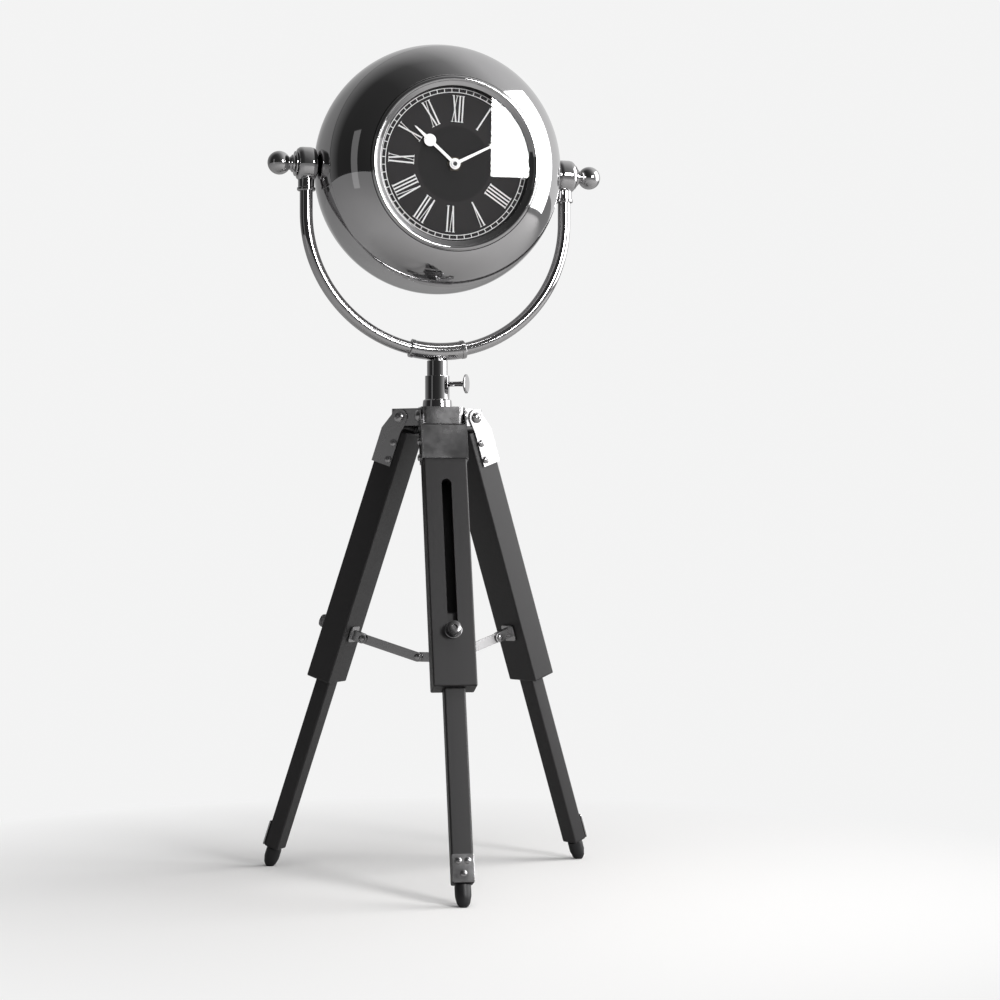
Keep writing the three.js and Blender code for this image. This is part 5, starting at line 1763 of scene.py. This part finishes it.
class CLOCK_OT_braces(bpy.types.Operator):
    """Makes the brace brackets, the links and the spreader between the legs"""

    bl_idname = "tripod_clock.braces"
    bl_label = "Braces and spreader"

    def execute(self, context):
        s = context.scene.clock_legs
        gap = context.scene.clock_head.clearance
        near = s.spreader_ear / 2 + gap
        far = near + s.link_gauge
        spans = ((near - gap - s.brace_gauge, near - gap), (far + gap, far + gap + s.brace_gauge))
        back = -s.thickness / 2 - gap
        pin_x = -s.thickness / 2 - s.brace_standoff
        half = s.brace_width / 2
        low = -s.brace_level - s.brace_length / 2
        outline = rounded(-half, half, low, low + s.brace_length, 2 * MM)
        bracket = plated("brace_bracket_pattern", [outline], back - s.brace_gauge, back)
        settled(bracket, ACROSS_AND_UP)
        for y0, y1 in spans:
            outline = [
                (back - s.brace_gauge / 2, -s.brace_level - s.brace_ear),
                (back - s.brace_gauge / 2, -s.brace_level + s.brace_ear),
                *bow(pin_x, -s.brace_level, s.brace_ear, 90, 270, 14),
            ]
            welded(bracket, settled(plated("brace_ear", [outline], -y1, -y0), OUT_AND_UP))
        bored(bracket, cross_rod("pin_bore", s.pin + gap, half, pin_x, -s.brace_level))
        eased(bracket, 0.25 * MM, 2, 50)

        strip = [*bow(0, 0, s.link_half, -90, 90, 14), *bow(-s.link, 0, s.link_half, 90, 270, 14)]
        link = plated("brace_link_pattern", [strip], -far, -near)
        eased(link, 0.3 * MM, 2, 50)
        settled(link, OUT_AND_UP)
        grip_low, grip_high = spans[0][0] - gap, spans[1][1] + gap
        pin = headed_pin("link_pin", s.pin, s.pin_head, s.pin_head_height, (grip_high - grip_low) / 2, 28)
        settled(pin, Matrix.Translation((0, (grip_low + grip_high) / 2, 0)) @ ALONG_Y)
        welded(link, pin)
        rivet = riveted("link_rivet", near + 0.1 * MM, far, s)
        welded(link, settled(rivet, Matrix.Translation((-s.link, 0, 0)) @ ALONG_Y))

        low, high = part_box("spreader_hub")
        hub_middle = Vector((POST.translation.x, POST.translation.y, ((low + high) / 2).z))
        spider = round_rod("spreader_turning", s.spreader_core, -s.link_half, s.link_half, 48)
        eased(spider, 0.5 * MM, 3, 50)
        for side in SIDES:
            outline = [
                (0, -s.link_half),
                *bow(s.spreader_pin, 0, s.link_half, -90, 90, 14),
                (0, s.link_half),
            ]
            arm = plated("spreader_arm", [outline], -s.spreader_ear / 2, s.spreader_ear / 2)
            settled(arm, OUT_AND_UP)
            eased(arm, 0.25 * MM, 2, 50)
            rivet = riveted("spreader_rivet", 0, s.spreader_ear / 2, s)
            joined(arm, settled(rivet, place((s.spreader_pin, 0, 0), (0, -1, 0), (0, 0, 1))))
            joined(spider, settled(arm, turned_out(side)))
        settled(spider, Matrix.Translation(hub_middle))
        handed_over(spider, stock("worn_chrome"), "spreader", "polished_metal", "spreader_hub", smooth=30)

        finish = ("worn_chrome", "polished_metal")
        for side in SIDES:
            node = f"brace_bracket_{side}"
            fitted(bracket, f"{node}_folded", LEG[side], finish, f"leg_{side}", node)
            # a link reaches from the spreader's pin to the bracket's
            outer_pin = LEG[side] @ Vector((pin_x, 0, -s.brace_level))
            out = LEG[side].translation - POST.translation
            out.z = 0
            inner_pin = hub_middle + out.normalized() * s.spreader_pin
            along = (outer_pin - inner_pin).normalized()
            across = LEG[side].to_3x3() @ Vector((0, 1, 0))
            reach = Matrix((along, across, along.cross(across))).transposed().to_4x4()
            reach.translation = outer_pin
            node = f"brace_link_{side}"
            fitted(link, f"{node}_strip", reach, finish, f"link_{side}", node, 30)
        discarded(bracket, link)
        return {"FINISHED"}


def riveted(name, low, face, s):
    """A rivet along Z, with its head on a face."""
    outline = [
        (low, 0),
        (low, s.pin_head),
        (face + s.pin_head_height * 0.3, s.pin_head),
        (face + s.pin_head_height * 0.75, s.pin_head * 0.74),
        (face + s.pin_head_height, 0),
    ]
    return lathed(name, outline, 28)


# The stage


class CLOCK_OT_stage(bpy.types.Operator):
    """Makes the camera, the floor and the lights"""

    bl_idname = "tripod_clock.stage"
    bl_label = "Stage"

    def execute(self, context):
        s = context.scene.clock_stage
        across = Vector((math.cos(s.camera_yaw), -math.sin(s.camera_yaw), 0))
        away = Vector((math.sin(s.camera_yaw), math.cos(s.camera_yaw), 0))
        post = Vector((POST.translation.x, POST.translation.y, 0))

        def at(right, near, up):
            """A place on the stage, to the right of the post, nearer to the camera than it, and up."""
            return post + across * right - away * near + Vector((0, 0, up))

        camera_data = bpy.data.cameras.new("photo_camera")
        camera = bpy.data.objects.new("photo_camera", camera_data)
        context.scene.collection.objects.link(camera)
        camera.location = at(-s.camera_side, s.camera_distance, s.camera_height)
        camera.rotation_mode = "QUATERNION"
        camera.rotation_quaternion = away.to_track_quat("-Z", "Y")
        sensor, picture = 36, 1000
        camera_data.sensor_width = sensor
        camera_data.lens = s.focal_pixels * sensor / picture
        camera_data.shift_y = (s.horizon_row - picture / 2) / picture
        camera_data.clip_start, camera_data.clip_end = 0.05, 50
        context.scene.camera = camera

        clear()
        bpy.ops.mesh.primitive_circle_add(vertices=96, radius=9, fill_type="NGON", location=post)
        floor = context.object
        floor.name = "stage_floor"
        bpy.ops.object.transform_apply(location=True, rotation=True, scale=True)
        floor.data.materials.append(floor_material("stage_floor", s.floor, s.backdrop, s.mirrored))

        world = bpy.data.worlds.new("studio")
        context.scene.world = world
        world.use_nodes = True
        studio_world(world, s.backdrop, s.mirrored, across, away)

        def softbox(name, spot, size, power, target, mirrored=True):
            data = bpy.data.lights.new(name, "AREA")
            data.shape = "RECTANGLE"
            data.size, data.size_y = size
            data.energy = power
            lamp = bpy.data.objects.new(name, data)
            lamp.visible_glossy = mirrored
            context.scene.collection.objects.link(lamp)
            lamp.location = spot
            lamp.rotation_mode = "QUATERNION"
            lamp.rotation_quaternion = (target - spot).to_track_quat("-Z", "Y")

        head, middle = pin_of("head_tilt"), at(0, 0, 0.36)
        softbox("glare_on_the_glass", at(0.90, 1.10, 0.79), (0.31, 0.37), 12, head)
        softbox("window_right", at(1.50, -0.15, 0.90), (1.10, 1.7), 26, middle)
        softbox("wall_left", at(-1.10, 0.95, 0.65), (0.30, 1.0), 0.2, middle)
        softbox("overhead", at(0.25, 0.35, 1.9), (0.8, 0.7), 10, middle, mirrored=False)
        context.scene.view_settings.view_transform = "Standard"
        return {"FINISHED"}


def seen_share(tree, mirrored):
    """How much shows: 1 to the camera and through glass, less in polished metal, 0 for plain light."""
    rays = wired(tree, "LightPath").outputs
    clear_view = reckoned("MAXIMUM", rays["Is Camera Ray"], rays["Is Transmission Ray"])
    return reckoned("MAXIMUM", clear_view, reckoned("MULTIPLY", rays["Is Glossy Ray"], mirrored))


def floor_material(name, tone, backdrop, mirrored):
    """Pale paper that fades into the backdrop away from the clock; it keeps the clock's shadow."""
    material, shader = new_material(name)
    tree = shader.id_data
    points = object_points(shader)
    seen = seen_share(tree, mirrored)
    paper = tinted(noise(points, scale=260, detail=3, roughness=0.6), shaded(tone, 0.985), tone)
    # the floor throws less light up at the clock than it shows
    inputs = {"Factor": seen, "A": (*shaded(tone, 0.28), 1), "B": paper}
    fed(shader, "Base Color", wired(tree, "Mix", inputs, data_type="RGBA").outputs["Result"])
    fed(shader, "Roughness", 0.75)
    fed(shader, "Specular IOR Level", 0.2)
    out = wired(tree, "VectorMath", {0: points}, operation="LENGTH").outputs["Value"]
    fade = reckoned("MULTIPLY", ramp(out, 0, 1, start=0.17, end=0.55), seen)
    glow = wired(tree, "Emission", {"Color": (*backdrop, 1)}).outputs["Emission"]
    surface = crossfaded(fade, shader.outputs["BSDF"], glow)
    fed(tree.nodes["Material Output"], "Surface", surface)
    return material


def studio_world(world, backdrop, mirrored, across, away):
    """Even soft light, the pale backdrop, and a dim room before the clock that only the metal mirrors."""
    tree = world.node_tree
    tree.nodes.clear()

    directions = wired(tree, "TexCoord").outputs["Generated"]

    def background(light, strength):
        return wired(tree, "Background", {"Color": light, "Strength": strength}).outputs["Background"]

    def facing(direction):
        inputs = {0: directions, 1: direction}
        return wired(tree, "VectorMath", inputs, operation="DOT_PRODUCT").outputs["Value"]

    # the room is dark on the left, towards the camera, and bright on the right
    bright = (across * 0.85 + away * 0.5 + Vector((0, 0, 0.2))).normalized()
    tone = wired(tree, "ValToRGB", {"Fac": ramp(facing(bright), 0, 1, start=-1, end=1)})
    stops = tone.color_ramp.elements
    for stop, level in zip(stops, (0.03, 0.95)):
        stop.color = (level, level, level, 1)
    for position, level in ((0.35, 0.05), (0.5, 0.11), (0.65, 0.32), (0.8, 0.75)):
        stops.new(position).color = (level, level, level, 1)
    room = background(tone.outputs["Color"], 1.0)
    soft = background((0.97, 0.98, 1.0, 1), 0.21)
    rays = wired(tree, "LightPath").outputs
    lit = crossfaded(rays["Is Glossy Ray"], soft, room)
    # the metal shows the backdrop where the backdrop stands, behind the clock
    stands = ramp(facing(away), 0, mirrored, start=-0.1, end=0.5)
    pale = background((*backdrop, 1), 1.0)
    fed(wired(tree, "OutputWorld"), "Surface", crossfaded(seen_share(tree, stands), lit, pale))


PIECES = (
    CLOCK_OT_shells,
    CLOCK_OT_bezel,
    CLOCK_OT_dial,
    CLOCK_OT_hands,
    CLOCK_OT_movement,
    CLOCK_OT_yoke,
    CLOCK_OT_knobs,
    CLOCK_OT_post,
    CLOCK_OT_hub,
    CLOCK_OT_legs,
    CLOCK_OT_brackets,
    CLOCK_OT_clamps,
    CLOCK_OT_feet,
    CLOCK_OT_braces,
)


class CLOCK_PT_panel(bpy.types.Panel):
    """Lists the clock's pieces and its sizes"""

    bl_idname = "CLOCK_PT_panel"
    bl_label = "Tripod clock"
    bl_space_type = "VIEW_3D"
    bl_region_type = "UI"
    bl_category = "Tripod clock"

    def draw(self, context):
        layout = self.layout
        layout.operator(CLOCK_OT_stage.bl_idname)
        for piece in PIECES:
            layout.operator(piece.bl_idname)
        for name, kind in GROUPS.items():
            box = layout.box()
            box.label(text=kind.__doc__.split(",")[0].rstrip("."))
            for key in kind.__annotations__:
                box.prop(getattr(context.scene, name), key)


CLASSES = (*GROUPS.values(), CLOCK_OT_stage, *PIECES, CLOCK_PT_panel)


def register():
    for made in CLASSES:
        bpy.utils.register_class(made)
    for name, kind in GROUPS.items():
        setattr(bpy.types.Scene, name, PointerProperty(type=kind))


def unregister():
    for name in GROUPS:
        delattr(bpy.types.Scene, name)
    for made in reversed(CLASSES):
        bpy.utils.unregister_class(made)


def main():
    register()
    bpy.ops.tripod_clock.stage()
    bpy.ops.tripod_clock.shells()
    bpy.ops.tripod_clock.bezel()
    bpy.ops.tripod_clock.dial()
    bpy.ops.tripod_clock.hands()
    bpy.ops.tripod_clock.movement()
    bpy.ops.tripod_clock.yoke()
    bpy.ops.tripod_clock.knobs()
    bpy.ops.tripod_clock.post()
    bpy.ops.tripod_clock.hub()
    bpy.ops.tripod_clock.legs()
    bpy.ops.tripod_clock.brackets()
    bpy.ops.tripod_clock.clamps()
    bpy.ops.tripod_clock.feet()
    bpy.ops.tripod_clock.braces()


if __name__ == "__main__":
    main()
